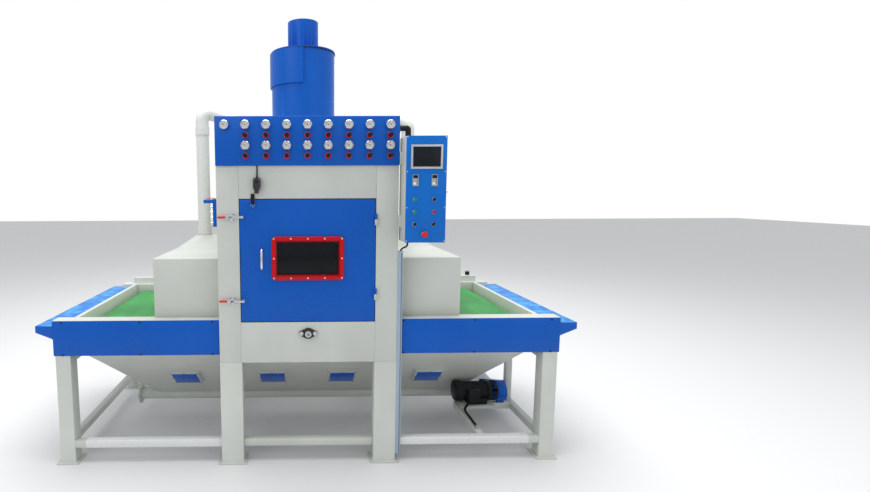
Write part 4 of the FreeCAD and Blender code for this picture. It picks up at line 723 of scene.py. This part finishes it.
class BLASTER_OT_doors(bpy.types.Operator):
    """Window bolts, gasket and hinge screws, black strips in the door gap that are a rubber seal and painted
    shade, the door switch with its key, and the control cables
    """

    bl_idname = "blaster.doors"
    bl_label = "Doors"

    def execute(self, context):
        places = [(x, -764, z) for x in (-226, -112, 0, 112, 226) for z in (1302, 1566)]
        places += [(-226, -764, 1434), (226, -764, 1434)]
        front_and_rear("window-bolts", dome_heads(places, FRONT, 6.5, "bright_steel"), "front_door",
                       "bright_steel")
        gasket = [block((-212, -765, 1316), (212, -751, 1322), "black_rubber", 1),
                  block((-212, -765, 1546), (212, -751, 1552), "black_rubber", 1),
                  block((-212, -765, 1318), (-206, -751, 1550), "black_rubber", 1),
                  block((206, -765, 1318), (212, -751, 1550), "black_rubber", 1)]
        front_and_rear("window-gasket", gasket, "front_door", "black_rubber")
        # Black strips filling the gap round the door: a rubber seal, and also painted shade that keeps the
        # gap dark.
        gap_seal_and_shade = [block((-453.2, -747, 1000), (-449.5, -716, 1830), "black_rubber", 0.6),
                block((449.5, -747, 1000), (453.2, -716, 1830), "black_rubber", 0.6),
                block((-453, -747, 1826.5), (453, -716, 1830.2), "black_rubber", 0.6),
                block((-453, -747, 999.8), (453, -716, 1003.5), "black_rubber", 0.6)]
        front_and_rear("door-gap-seal-and-shade", gap_seal_and_shade, MACHINE, "black_rubber")
        upper = [(435, -754, z) for z in (1702, 1720, 1202, 1220)]
        front_and_rear("hinge-screws", dome_heads(upper, FRONT, 3.2, "blue_paint"), "front_door",
                       "blue_paint")
        lower = [(466, -754, z) for z in (1664, 1682, 1164, 1182)]
        front_and_rear("jamb-screws", dome_heads(lower, FRONT, 3.2, "cream_paint"), MACHINE, "cream_paint")
        screws = dome_heads([(-372, -756, 1790), (-350, -756, 1790), (-361, -756, 1779)], FRONT, 3.4,
                            "bright_steel")
        place("key-screws", screws, "front_door", "bright_steel")
        tongue = block((-373.4, -760.6, 1794.5), (-348.6, -755.4, 1861.6), "black_rubber", 1.2)
        place("switch-key", tongue, "front_door", "black_rubber")
        lid = [block((-355, -789.4, 1893), (-307, -787, 1961), "dark_steel", 2),
               turned((-331, -789, 1940), FRONT, [(0, 9), (1.5, 9), (2, 8)], "black_rubber", 20)]
        lid += dome_heads([(-350, -789.2, 1898), (-312, -789.2, 1898), (-350, -789.2, 1956),
                           (-312, -789.2, 1956)],
                          FRONT, 2.6, "bright_steel")
        place("switch-lid", lid, slot="dark_steel")
        gland = turned((-331, -754, 1962), UP, [(0, 7), (6, 7), (7, 6), (12, 5.5), (16, 4.4)],
                       "black_rubber", 16)
        lead = tube([(-331, -754, 1964), (-331, -755, 1990), (-329, -757, 2018), (-331, -754, 2046)], 4,
                    "black_rubber")
        drop = tube([(660, -768, 1552), (660, -768, 1532), (654, -765, 1508), (628, -745, 1500),
                     (618, -738, 1478)],
                    6, "black_rubber")
        place("control-cables", [gland, lead, drop], slot="black_rubber", stands_for="control_cables")
        return {"FINISHED"}


class BLASTER_OT_clamps(bpy.types.Operator):
    """Toggle clamps: grips, links, spindle pads, nuts and the base bolts"""

    bl_idname = "blaster.clamps"
    bl_label = "Clamps"

    def execute(self, context):
        for name, z in (("upper", 1710), ("lower", 1150)):
            arm = f"front_{name}_clamp_arm"
            handle = f"front_{name}_clamp_handle"
            link = [block((-542, -776.2, z - 7), (-518, -767.8, z + 7), "bright_steel", 1.2),
                    turned((-518, -772, z - 7), UP, [(0, 5.6), (0.5, 6.1), (13.5, 6.1), (14, 5.6)],
                           "bright_steel", 20)]
            front_and_rear(f"{name}-clamp-link", link, handle, "bright_steel", handle)
            grip = turned((-537, -772, z), (-1, 0, 0),
                          [(0, 5.4), (3, 7), (18, 7.6), (30, 7), (46, 7.8), (52, 6.6), (55, 4)],
                          "red_grip", 24, 60)
            front_and_rear(f"{name}-clamp-grip", grip, handle, "red_grip")
            pad = turned((-432, -750.4, z), FRONT, [(0, 8.1), (2, 8.4), (8, 8.4), (9.2, 6.5)],
                         "white_plastic", 24)
            front_and_rear(f"{name}-clamp-pad", pad, arm, "white_plastic")
            nuts = [turned((-432, -765.9, z), (0, 1, 0), [(0, 7.8), (4, 7.8), (4.6, 7)], "bright_steel", 6),
                    turned((-432, -778.1, z), FRONT, [(0, 7.8), (4, 7.8), (4.6, 7)], "bright_steel", 6)]
            front_and_rear(f"{name}-clamp-nuts", nuts, arm, "bright_steel")
        places = [(x, -754, z + rise) for x in (-518, -490) for z in (1710, 1150) for rise in (-18.5, 18.5)]
        front_and_rear("clamp-bolts", dome_heads(places, FRONT, 4, "dark_steel"), MACHINE, "dark_steel")
        return {"FINISHED"}


class BLASTER_OT_console(bpy.types.Operator):
    """Screen, controllers, buttons and screws of the console, its conduit and the trunking"""

    bl_idname = "blaster.console"
    bl_label = "Console"

    def execute(self, context):
        frame_rim = tray((642, -908, 2014), (842, -899.5, 2164), 13, 4, "bright_steel", 1)
        place("screen-frame", frame_rim, slot="bright_steel", stands_for="console_controls")
        glass = block((654.5, -904.8, 2026.5), (829.5, -903.5, 2151.5), "screen_black", 0.4)
        place("screen-glass", glass, slot="screen_black")
        cases, windows, knobs, greens, reds = [], [], [], [], []
        for x in (674, 794):
            cases.append(tray((x - 19, -906, 1907), (x + 19, -899.5, 1979), 2.5, 1.5, "grey_plastic", 0.8))
            windows.append(block((x - 15, -905.6, 1956), (x + 15, -904.2, 1975), "screen_black", 0.5))
            knobs.append(turned((x - 6, -904.5, 1922), FRONT, [(0, 9), (6, 8.4), (7, 7)], "white_plastic",
                                20))
            greens.append(turned((x + 11, -904.5, 1947), FRONT, [(0, 3), (2, 2.4)], "green_cap", 12))
            reds.append(turned((x + 11, -904.5, 1936), FRONT, [(0, 3), (2, 2.4)], "red_grip", 12))
            greens.append(turned((x + 11, -904.5, 1925), FRONT, [(0, 3), (2, 2.4)], "green_cap", 12))
        rings, selectors = [], []
        for x, z, kind in ((674, 1823, "green"), (794, 1823, "selector"), (674, 1745, "green"),
                           (794, 1745, "red"),
                           (674, 1667, "selector"), (794, 1667, "selector")):
            rings.append(turned((x, -899.8, z), FRONT, [(0, 14), (4, 14), (6.5, 12.2), (6.2, 11)],
                                "chrome_trim", 28))
            if kind == "selector":
                selectors.append(turned((x, -905, z), FRONT, [(0, 10.6), (7, 10), (8, 9)], "black_rubber",
                                        24))
                selectors.append(spun(block((-3, -918.5, -10), (3, -911, 10), "black_rubber", 1.2), 1, 40,
                                      (x, 0, z)))
            else:
                cap = turned((x, -905, z), FRONT, [(0, 10.8), (9, 10.8), (12, 9.6), (13, 7)], f"{kind}_cap",
                             28)
                (greens if kind == "green" else reds).append(cap)
        reds.append(turned((734, -912, 1604), FRONT,
                           [(0, 12), (3, 12), (5, 19.4), (12, 20), (16, 17), (18, 10)],
                           "red_grip", 32, 50))
        rings.append(turned((734, -899.8, 1604), FRONT, [(0, 17), (4, 17), (6, 13), (13, 12)], "chrome_trim",
                            28))
        place("controller-cases", cases, slot="grey_plastic")
        place("controller-windows", windows, slot="screen_black")
        place("controller-knobs", knobs, slot="white_plastic")
        place("console-green-caps", greens, slot="green_cap")
        place("console-red-caps", reds, slot="red_grip")
        place("console-rings", rings, slot="chrome_trim")
        place("console-selectors", selectors, slot="black_rubber")
        screws = [(x, -900, z) for x in (622, 862) for z in (2211, 1997, 1772, 1560)]
        place("console-screws", dome_heads(screws, FRONT, 4.2, "bright_steel"), slot="bright_steel")
        key = [turned((870, -860, 1874), (1, 0, 0), [(0, 13), (4, 13), (5, 11.5)], "chrome_trim", 24),
               turned((874, -860, 1874), (1, 0, 0), [(0, 9.2), (11, 9.2), (12.5, 8)], "chrome_trim", 24),
               block((880, -862, 1862), (888, -858, 1886), "chrome_trim", 1)]
        place("console-lock", key, slot="chrome_trim")
        hose = corrugated([(598, -728, 2285), (630, -728, 2285), (660, -728, 2285), (660, -728, 2254),
                           (660, -728, 2218)],
                          20, 2.4)
        nuts = [turned((600, -728, 2285), (1, 0, 0), [(0, 24), (8, 24), (9, 22)], "dark_steel", 6),
                turned((660, -728, 2219), UP, [(0, 24), (8, 24), (9, 22)], "dark_steel", 6)]
        place("console-hose", [hose] + nuts, slot="black_rubber", stands_for="console_conduit")
        # Black patches where the trunking's slots are: painted shade for the dark inside seen through the
        # slots.
        slots = block((624, -750.5, 66), (630, -749.7, 73), "screen_black")
        slots = apply_modifier(slots, "ARRAY", count=112, use_relative_offset=False, use_constant_offset=True,
                               constant_offset_displace=(0, 0, 12.5 * MM))
        place("trunking-slot-shade", slots, slot="screen_black")
        lid = block((600.5, -750.6, 60), (620, -749.6, 1480), "trunk_grey", 0.3)
        place("trunking-lid", lid, slot="grey_plastic")
        return {"FINISHED"}


class BLASTER_OT_cabin_trim(bpy.types.Operator):
    """Bearing bolts, the manifold's valve and ports, and the cyclone's flange bolts and the thin black ring
    round its top edge
    """

    bl_idname = "blaster.cabin_trim"
    bl_label = "Cabin trim"

    def execute(self, context):
        bolts = bolt_heads([(-46.5, -766, 925), (46.5, -766, 925)], FRONT, 15, "bright_steel", 8)
        bolts += [rod((x, -766, 925), (x, -781, 925), 4.5, "bright_steel") for x in (-46.5, 46.5)]
        bolts.append(turned((0, -782, 925), FRONT, [(0, 13.3), (15.4, 13.3), (16, 12)], "bright_steel", 28))
        bolts.append(turned((0, -781.5, 925), FRONT, [(0, 21), (5, 21), (6, 19.5)], "bright_steel", 28))
        front_and_rear("bearing-bolts", bolts, MACHINE, "bright_steel")
        body = turned((-626, -725, 1814), (-1, 0, 0),
                      [(0, 9), (8, 9), (8.2, 12.6), (34, 12.6), (34.2, 9), (48, 9),
                                                       (48.2, 12.4), (60.3, 12.4)], "bright_steel", 20)
        lever = [block((-668, -728, 1826), (-656, -722, 1834), "bright_steel", 1),
                 block((-664, -731, 1832), (-606, -719, 1836), "red_grip", 1.2)]
        place("valve-body", body, slot="bright_steel")
        place("valve-lever", lever, slot="red_grip")
        ports = [turned((-626, -725, z), (-1, 0, 0), [(0, 8), (6, 8), (6.2, 6), (16, 6)], "chrome_trim", 6)
                 for z in (1670, 1705, 1740, 1775)]
        place("manifold-ports", ports, slot="chrome_trim")
        # A thin black ring round the top edge of the cyclone.
        lip = turned((CYCLONE_X, 0, 2930.5), UP, [(0, 249.2), (0.5, 250.4), (5.5, 250.4), (6, 249.2)],
                     "black_rubber", 72)
        place("cyclone-top-black-ring", lip, slot="black_rubber")
        turns = [math.pi * step / 8 for step in range(16)]
        ring = [(CYCLONE_X + CYCLONE_BOLTS_R * math.cos(turn), CYCLONE_BOLTS_R * math.sin(turn), 2372)
                for turn in turns]
        place("cyclone-bolts", bolt_heads(ring, UP, 16, "bright_steel"), slot="bright_steel")
        return {"FINISHED"}


class BLASTER_OT_belt(bpy.types.Operator):
    """Cross rods all round the belt"""

    bl_idname = "blaster.belt"
    bl_label = "Belt"

    def execute(self, context):
        pitch = context.scene.blaster_sizes.belt_pitch / MM
        count = int(2 * DRUM_X / pitch)
        start = -pitch * count / 2
        runs = []
        for height in (DRUM_Z + ROD_REACH, DRUM_Z - ROD_REACH):
            bar = rod((start, -ROD_HALF, height), (start, ROD_HALF, height), ROD_R, "belt_green", 8)
            runs.append(apply_modifier(bar, "ARRAY", count=count + 1, use_relative_offset=False,
                                       use_constant_offset=True, constant_offset_displace=(pitch * MM, 0, 0)))
        ends = []
        steps = int(math.pi * ROD_REACH / pitch)
        for side in (-1, 1):
            for step in range(1, steps):
                angle = math.pi * step / steps
                ends.append((side * (DRUM_X + ROD_REACH * math.sin(angle)), 0,
                             DRUM_Z + ROD_REACH * math.cos(angle)))
        runs += set_out(rod((0, -ROD_HALF, 0), (0, ROD_HALF, 0), ROD_R, "belt_green", 8), ends)
        place("belt-rods", runs, slot="green_belt")
        return {"FINISHED"}


class BLASTER_OT_curtains(bpy.types.Operator):
    """Overlapping curtain strips at the mouths and at the cabin's openings"""

    bl_idname = "blaster.curtains"
    bl_label = "Curtains"

    def execute(self, context):
        width = context.scene.blaster_sizes.strip_width / MM
        count = int(2 * CURTAIN_HALF / width)
        pitch = (2 * CURTAIN_HALF - width * 1.1) / (count - 1)
        for name, middle, top in (("mouth", 1035, 1401.5), ("inner", 575, 1401.5)):
            strips = []
            for index in range(count):
                y = -CURTAIN_HALF + width * 0.55 + pitch * index
                strip = block((-1.2, y - width * 0.55, 970.5), (1.2, y + width * 0.55, top), "cream_strip")
                only(strip)
                bpy.ops.object.mode_set(mode="EDIT")
                bpy.ops.mesh.select_all(action="SELECT")
                bpy.ops.mesh.subdivide(number_cuts=5)
                bpy.ops.object.mode_set(mode="OBJECT")
                rest = 1.9 if index % 2 else -1.9
                for corner in strip.data.vertices:
                    fall = (top - corner.co.z / MM) / (top - 970)
                    wave = math.sin(index * 2.3 + fall * 4.5) * 1.7 * min(1, fall * 1.6)
                    corner.co.x += (rest + wave) * MM
                bpy.ops.object.shade_smooth_by_angle(angle=math.radians(40))
                strips.append(strip)
            right = moved(joined("curtain", strips), (middle, 0, 0))
            left = moved(copy_of(right), (-2 * middle, 0, 0))
            stands_for = "strip_curtains" if name == "mouth" else ()
            place(f"{name}-curtains", [right, left], slot="cream_strip", stands_for=stands_for)
        rails = []
        for side in (-1, 1):
            rails += dome_heads([(side * 553.6, y, 1430) for y in range(-540, 541, 180)], (-side, 0, 0), 6,
                                "dark_steel")
        place("curtain-rail-bolts", rails, slot="dark_steel")
        return {"FINISHED"}


class BLASTER_OT_guns(bpy.types.Operator):
    """Blast guns on their rods and clamps, and the hoses to them"""

    bl_idname = "blaster.guns"
    bl_label = "Blast guns"

    def execute(self, context):
        places = [(x, y, 0) for x, y, column, row in GUNS]
        slope = Vector((-math.sin(math.radians(35)), 0, math.cos(math.radians(35))))
        root = Vector((-42, -19, 1330))
        body = turned((-42, -19, 1390), (0, 0, -1),
                      [(-26, 7), (-24, 8), (-8, 8), (-6, 12), (0, 12), (1, 20), (62, 20),
                                                     (68, 18.5), (84, 18.5), (90, 15)], "gun_alloy", 24)
        side = turned(root, slope, [(8, 13), (54, 13), (56, 11), (60, 11), (61, 12.2), (66, 12.2), (67, 11),
                                    (78, 11)],
                      "gun_alloy", 20)
        stud = turned((-42, -38, 1352), FRONT, [(0, 4), (8, 4), (8.2, 7.5), (13, 7.5), (13.6, 6.5)],
                      "gun_alloy", 6)
        guns = joined("gun", [body, side, stud])
        place("guns", set_out(guns, places), slot="gun_alloy", stands_for="blast_guns")
        tip = turned((-42, -19, 1301), (0, 0, -1), [(0, 12.5), (8, 12.5), (10, 10.5), (52, 9.6), (56, 8.2),
                                                    (50, 5)],
                     "white_plastic", 20)
        place("gun-nozzles", set_out(tip, places), slot="white_plastic")
        upper = rod((0, -19, 1528), (0, -19, 1830), 6.6, "yellow_zinc", 14)
        clamp = [block((-16.4, -31.4, 1619.6), (16.4, 17.4, 1660.4), "yellow_zinc", 2.5),
                 turned((0, -31, 1640), FRONT, [(0, 6), (8, 6), (8.2, 9), (15, 9)], "yellow_zinc", 6)]
        place("upper-rods", set_out(joined("upper", [upper] + clamp), places), slot="yellow_zinc")
        cross = [turned((-13, -19, 1530), (1, 0, 0), [(0, 9.5), (1, 11.6), (52.6, 11.6), (54, 9.5)],
                        "gun_alloy", 20),
                 turned((0, -30, 1530), FRONT, [(0, 4), (9, 4), (9.2, 7), (14, 7)], "gun_alloy", 6)]
        place("cross-tubes", set_out(joined("cross", cross), places), slot="gun_alloy")
        lower = rod((28, -19, 1330), (28, -19, 1530), 6.6, "copper_rod", 14)
        place("lower-rods", set_out(lower, places), slot="yellow_zinc")
        clip = [block((-23, -28.4, 1353.4), (40.4, -9.6, 1366.6), "gun_alloy", 1.5),
                turned((10, -28, 1360), FRONT, [(0, 3.5), (6, 3.5), (6.2, 6.5), (11, 6.5)], "dark_steel", 6)]
        place("gun-clips", set_out(joined("clip", clip), places), slot="gun_alloy")
        grit, bands, air, stripes, ends = [], [], [], [], []
        for x, y, column, row in GUNS:
            side = -1 if column < 2 else 1
            outer = column in (0, 3)
            mouth = root + slope * 78 + Vector((x, y, 0))
            start = Vector((105 * side, -28 if row < 2 else 28, 2048 + 54 * (2 * outer + (row in (0, 3)))))
            ahead = Vector((side, 0, 0))
            aside = Vector((slope.x * 190, -55, 0))
            poles = [start + ahead * 8, start + ahead * 190, Vector((mouth.x, mouth.y, start.z)) + aside,
                     mouth + aside + Vector((0, 0, 380)), mouth + slope * 190, mouth - slope * 10]
            grit.append(tube(poles, 13, "black_rubber", 16, 6))
            bands.append(turned(start - ahead * 16, ahead, [(0, 13.4), (0.5, 14.4), (9, 14.4), (9.5, 13.4)],
                                "bright_steel", 20))
            bands.append(turned(mouth, slope, [(2, 13.4), (2.5, 14.4), (11, 14.4), (11.5, 13.4)],
                                "bright_steel", 20))
            top = Vector(((490 if outer else 430) * side, y - 60 * (3 if row == 2 and not outer else 1),
                          2296))
            end = Vector((x - 42, y - 19, 1412))
            line = [top, top - Vector((0, 0, 190)), end + Vector((0, -55, 380)),
                    end + Vector((0, -27.5, 190)), end]
            air.append(tube(line, 8, "clear_hose", 12, 5))
            stripes.append(tube([spot + Vector((0, -7.6, 0)) for spot in line], 1.1, "red_grip", 8, 5))
            ends.append(turned(top + Vector((0, 0, 24)), (0, 0, -1),
                               [(0, 14), (9, 14), (9.2, 11), (22, 11), (26, 9)],
                               "bright_steel", 6))
        place("gun-grit-hoses", grit, slot="black_rubber", stands_for="grit_hoses")
        place("gun-air-hoses", air, slot="clear_hose", stands_for="air_hoses")
        place("hose-stripes", stripes, slot="red_grip")
        place("hose-clips", bands + ends, slot="bright_steel")
        return {"FINISHED"}


class BLASTER_OT_low_frame(bpy.types.Operator):
    """Skirt faces with their screws, film on the stretchers, hatches, guard knob and anchor bolts"""

    bl_idname = "blaster.low_frame"
    bl_label = "Low frame"

    def execute(self, context):
        panel = block((600.5, -726.6, 770), (1730, -724.8, 1012), "blue_paint", 0.5)
        front_and_rear("skirt-faces", [panel, mirrored(panel, "x")], MACHINE, "blue_paint")
        places = [(x * side, -726.4, z) for side in (-1, 1) for x in (651, 1141, 1669) for z in (775.5, 1000)]
        front_and_rear("skirt-screws", dome_heads(places, FRONT, 7, "black_rubber"), MACHINE, "black_rubber")
        film = block((600, -727.6, 110.4), (1548, -672.4, 165.6), "wrap_film", 7, 3)
        front_and_rear("stretcher-film", [film, mirrored(film, "x")], MACHINE, "wrap_film")
        frames, covers, bolts = [], [], []
        for side in (-1, 1):
            top = Vector((0, 620 * side, 770))
            foot = Vector((0, 150 + 50.1 * side, 175))
            fall = (foot - top).normalized()
            outward = Vector((1, 0, 0)).cross(fall) * side
            for x in (-953, -272, 272, 953):
                spot = top + (foot - top) * 0.56 + Vector((x, 0, 0))
                turn = Matrix((Vector((1, 0, 0)), fall, outward)).transposed().to_4x4()
                turn.translation = spot * MM
                flange = block((-124, -124, -1), (124, 124, 4), "cream_paint", 1)
                box = block((-110, -110, 3), (110, 110, 24), "cream_paint", 1)
                cover = block((-95, -95, 23.8), (95, 95, 28), "blue_paint", 1)
                heads = dome_heads([(a, b, 24) for a in (-102, 0, 102) for b in (-102, 102)]
                                   + [(-102, 0, 24), (102, 0, 24)], UP, 5, "black_rubber")
                for group, items in ((frames, [flange, box]), (covers, [cover]), (bolts, heads)):
                    for item in items:
                        item.matrix_world = turn
                        group.append(settle(item))
        place("hatch-boxes", frames, slot="cream_paint", stands_for="cleanout_hatches")
        place("hatch-covers", covers, slot="blue_paint")
        place("hatch-bolts", bolts, slot="black_rubber")
        knob = turned((1556, 688, 1070), UP, [(0, 14), (5, 14), (8, 20.4), (40, 20.4), (45, 18), (47.5, 12)],
                      "black_rubber", 24, 50)
        place("guard-knob", knob, slot="black_rubber")
        anchors = [(side * 1731.5, end * 675, 10) for side in (-1, 1) for end in (-1, 1)]
        place("anchor-bolts", bolt_heads(anchors, UP, 13, "bright_steel"), slot="bright_steel")
        return {"FINISHED"}


class BLASTER_OT_drive(bpy.types.Operator):
    """Motor hose with its clip, and the bolts of the screw's flanges"""

    bl_idname = "blaster.drive"
    bl_label = "Screw drive"

    def execute(self, context):
        hose = corrugated([(1290, -222, 216), (1288, -235, 188), (1228, -300, 176), (1226, -400, 174),
                           (1226, -520, 174), (1226, -600, 174)], 10, 1.4)
        place("motor-hose", hose, slot="black_rubber")
        clip = [block((1206, -612, 162), (1246, -592, 166), "bright_steel", 0.8),
                turned((1226, -610, 174), (0, 1, 0), [(0, 12.4), (1, 13), (19, 13), (20, 12.4)],
                       "bright_steel", 24)]
        place("motor-hose-clip", clip, slot="bright_steel")
        turns = [math.pi * step / 4 for step in range(8)]
        ring = [(NEAR_FLANGE, SCREW_Y + FLANGE_BOLTS_R * math.cos(turn),
                 SCREW_Z + FLANGE_BOLTS_R * math.sin(turn))
                for turn in turns]
        heads = bolt_heads(ring, (1, 0, 0), 12, "dark_steel")
        far = [(FAR_FLANGE, y, z) for x, y, z in ring]
        heads += bolt_heads(far, (-1, 0, 0), 12, "dark_steel")
        place("screw-flange-bolts", heads, slot="dark_steel")
        return {"FINISHED"}


CAMERA_PLACE = (-0.051, -4.050, 1.871)
CAMERA_PAN = -0.80
CAMERA_TILT = 90 - 6.13
CAMERA_ROLL = -0.22
CAMERA_LENS = 20.69
CAMERA_SENSOR = 36
CAMERA_SHIFT = 0.147
LAMP_TARGET = (0, 0, 1.3)
FLOOR_SIZE = 60


class BLASTER_OT_stage(bpy.types.Operator):
    """Floor, soft light and the camera"""

    bl_idname = "blaster.stage"
    bl_label = "Stage"

    def execute(self, context):
        bpy.ops.mesh.primitive_plane_add(size=FLOOR_SIZE, location=(0, 0, 0))
        floor = bpy.context.object
        floor.name = "floor"
        material = bpy.data.materials.new("floor")
        material.use_nodes = True
        shader = material.node_tree.nodes["Principled BSDF"]
        shader.inputs["Base Color"].default_value = (0.74, 0.74, 0.74, 1)
        shader.inputs["Roughness"].default_value = 0.6
        floor.data.materials.append(material)
        world = bpy.data.worlds.new("studio")
        world.use_nodes = True
        background = world.node_tree.nodes["Background"]
        background.inputs["Color"].default_value = (0.96, 0.98, 1.0, 1)
        background.inputs["Strength"].default_value = 0.72
        graph = Graph(world.node_tree)
        backdrop = graph.add("ShaderNodeBackground", in_0=(1, 1, 1, 1), in_1=1.0)
        choice = graph.add("ShaderNodeMixShader")
        graph.link(graph.add("ShaderNodeLightPath").outputs["Is Camera Ray"], choice.inputs[0])
        graph.link(background.outputs[0], choice.inputs[1])
        graph.link(backdrop.outputs[0], choice.inputs[2])
        graph.link(choice.outputs[0], world.node_tree.nodes["World Output"].inputs["Surface"])
        context.scene.world = world
        for name, spot, size, power in (
                ("key", (-4.5, -5.0, 6.0), 4.0, 90), ("fill", (5.0, -5.0, 3.2), 4.5, 20),
                ("top", (0.0, 0.5, 7.0), 6.0, 480), ("back", (1.0, 6.5, 4.0), 4.0, 40)):
            bpy.ops.object.light_add(type="AREA", location=spot)
            lamp = bpy.context.object
            lamp.name = name
            lamp.data.size = size
            lamp.data.energy = power
            lamp.rotation_euler = (Vector(LAMP_TARGET) - Vector(spot)).to_track_quat("-Z", "Y").to_euler()
        bpy.ops.object.camera_add(location=CAMERA_PLACE)
        camera = bpy.context.object
        pan = Matrix.Rotation(math.radians(CAMERA_PAN), 4, "Z")
        tilt = Matrix.Rotation(math.radians(CAMERA_TILT), 4, "X")
        roll = Matrix.Rotation(math.radians(CAMERA_ROLL), 4, "Z")
        camera.rotation_euler = (pan @ tilt @ roll).to_euler()
        camera.data.lens = CAMERA_LENS
        camera.data.sensor_width = CAMERA_SENSOR
        camera.data.shift_x = CAMERA_SHIFT
        camera.data.clip_end = 200
        context.scene.camera = camera
        context.scene.view_settings.view_transform = "Standard"
        return {"FINISHED"}


STEPS = ("finishes", "sheet_metal", "gauges", "doors", "clamps", "console", "cabin_trim", "belt", "curtains",
         "guns",
         "low_frame", "drive", "stage")


class BLASTER_PT_sidebar(bpy.types.Panel):
    """Colours, sizes and steps of the sandblasting machine"""

    bl_idname = "BLASTER_PT_sidebar"
    bl_label = "Conveyor sandblaster"
    bl_space_type = "VIEW_3D"
    bl_region_type = "UI"
    bl_category = "Sandblaster"

    def draw(self, context):
        for group in (context.scene.blaster_colours, context.scene.blaster_sizes):
            box = self.layout.box()
            for key in group.bl_rna.properties.keys():
                if key not in ("rna_type", "name"):
                    box.prop(group, key)
        for step in STEPS:
            self.layout.operator("blaster." + step)


CLASSES = (BlasterColours, BlasterSizes, BLASTER_OT_finishes, BLASTER_OT_sheet_metal, BLASTER_OT_gauges,
           BLASTER_OT_doors, BLASTER_OT_clamps, BLASTER_OT_console, BLASTER_OT_cabin_trim, BLASTER_OT_belt,
           BLASTER_OT_curtains, BLASTER_OT_guns, BLASTER_OT_low_frame, BLASTER_OT_drive, BLASTER_OT_stage,
           BLASTER_PT_sidebar)


def register():
    for item in CLASSES:
        bpy.utils.register_class(item)
    bpy.types.Scene.blaster_colours = PointerProperty(type=BlasterColours)
    bpy.types.Scene.blaster_sizes = PointerProperty(type=BlasterSizes)


def unregister():
    del bpy.types.Scene.blaster_sizes
    del bpy.types.Scene.blaster_colours
    for item in reversed(CLASSES):
        bpy.utils.unregister_class(item)


def main():
    register()
    for step in STEPS:
        getattr(bpy.ops.blaster, step)()


if __name__ == "__main__":
    main()
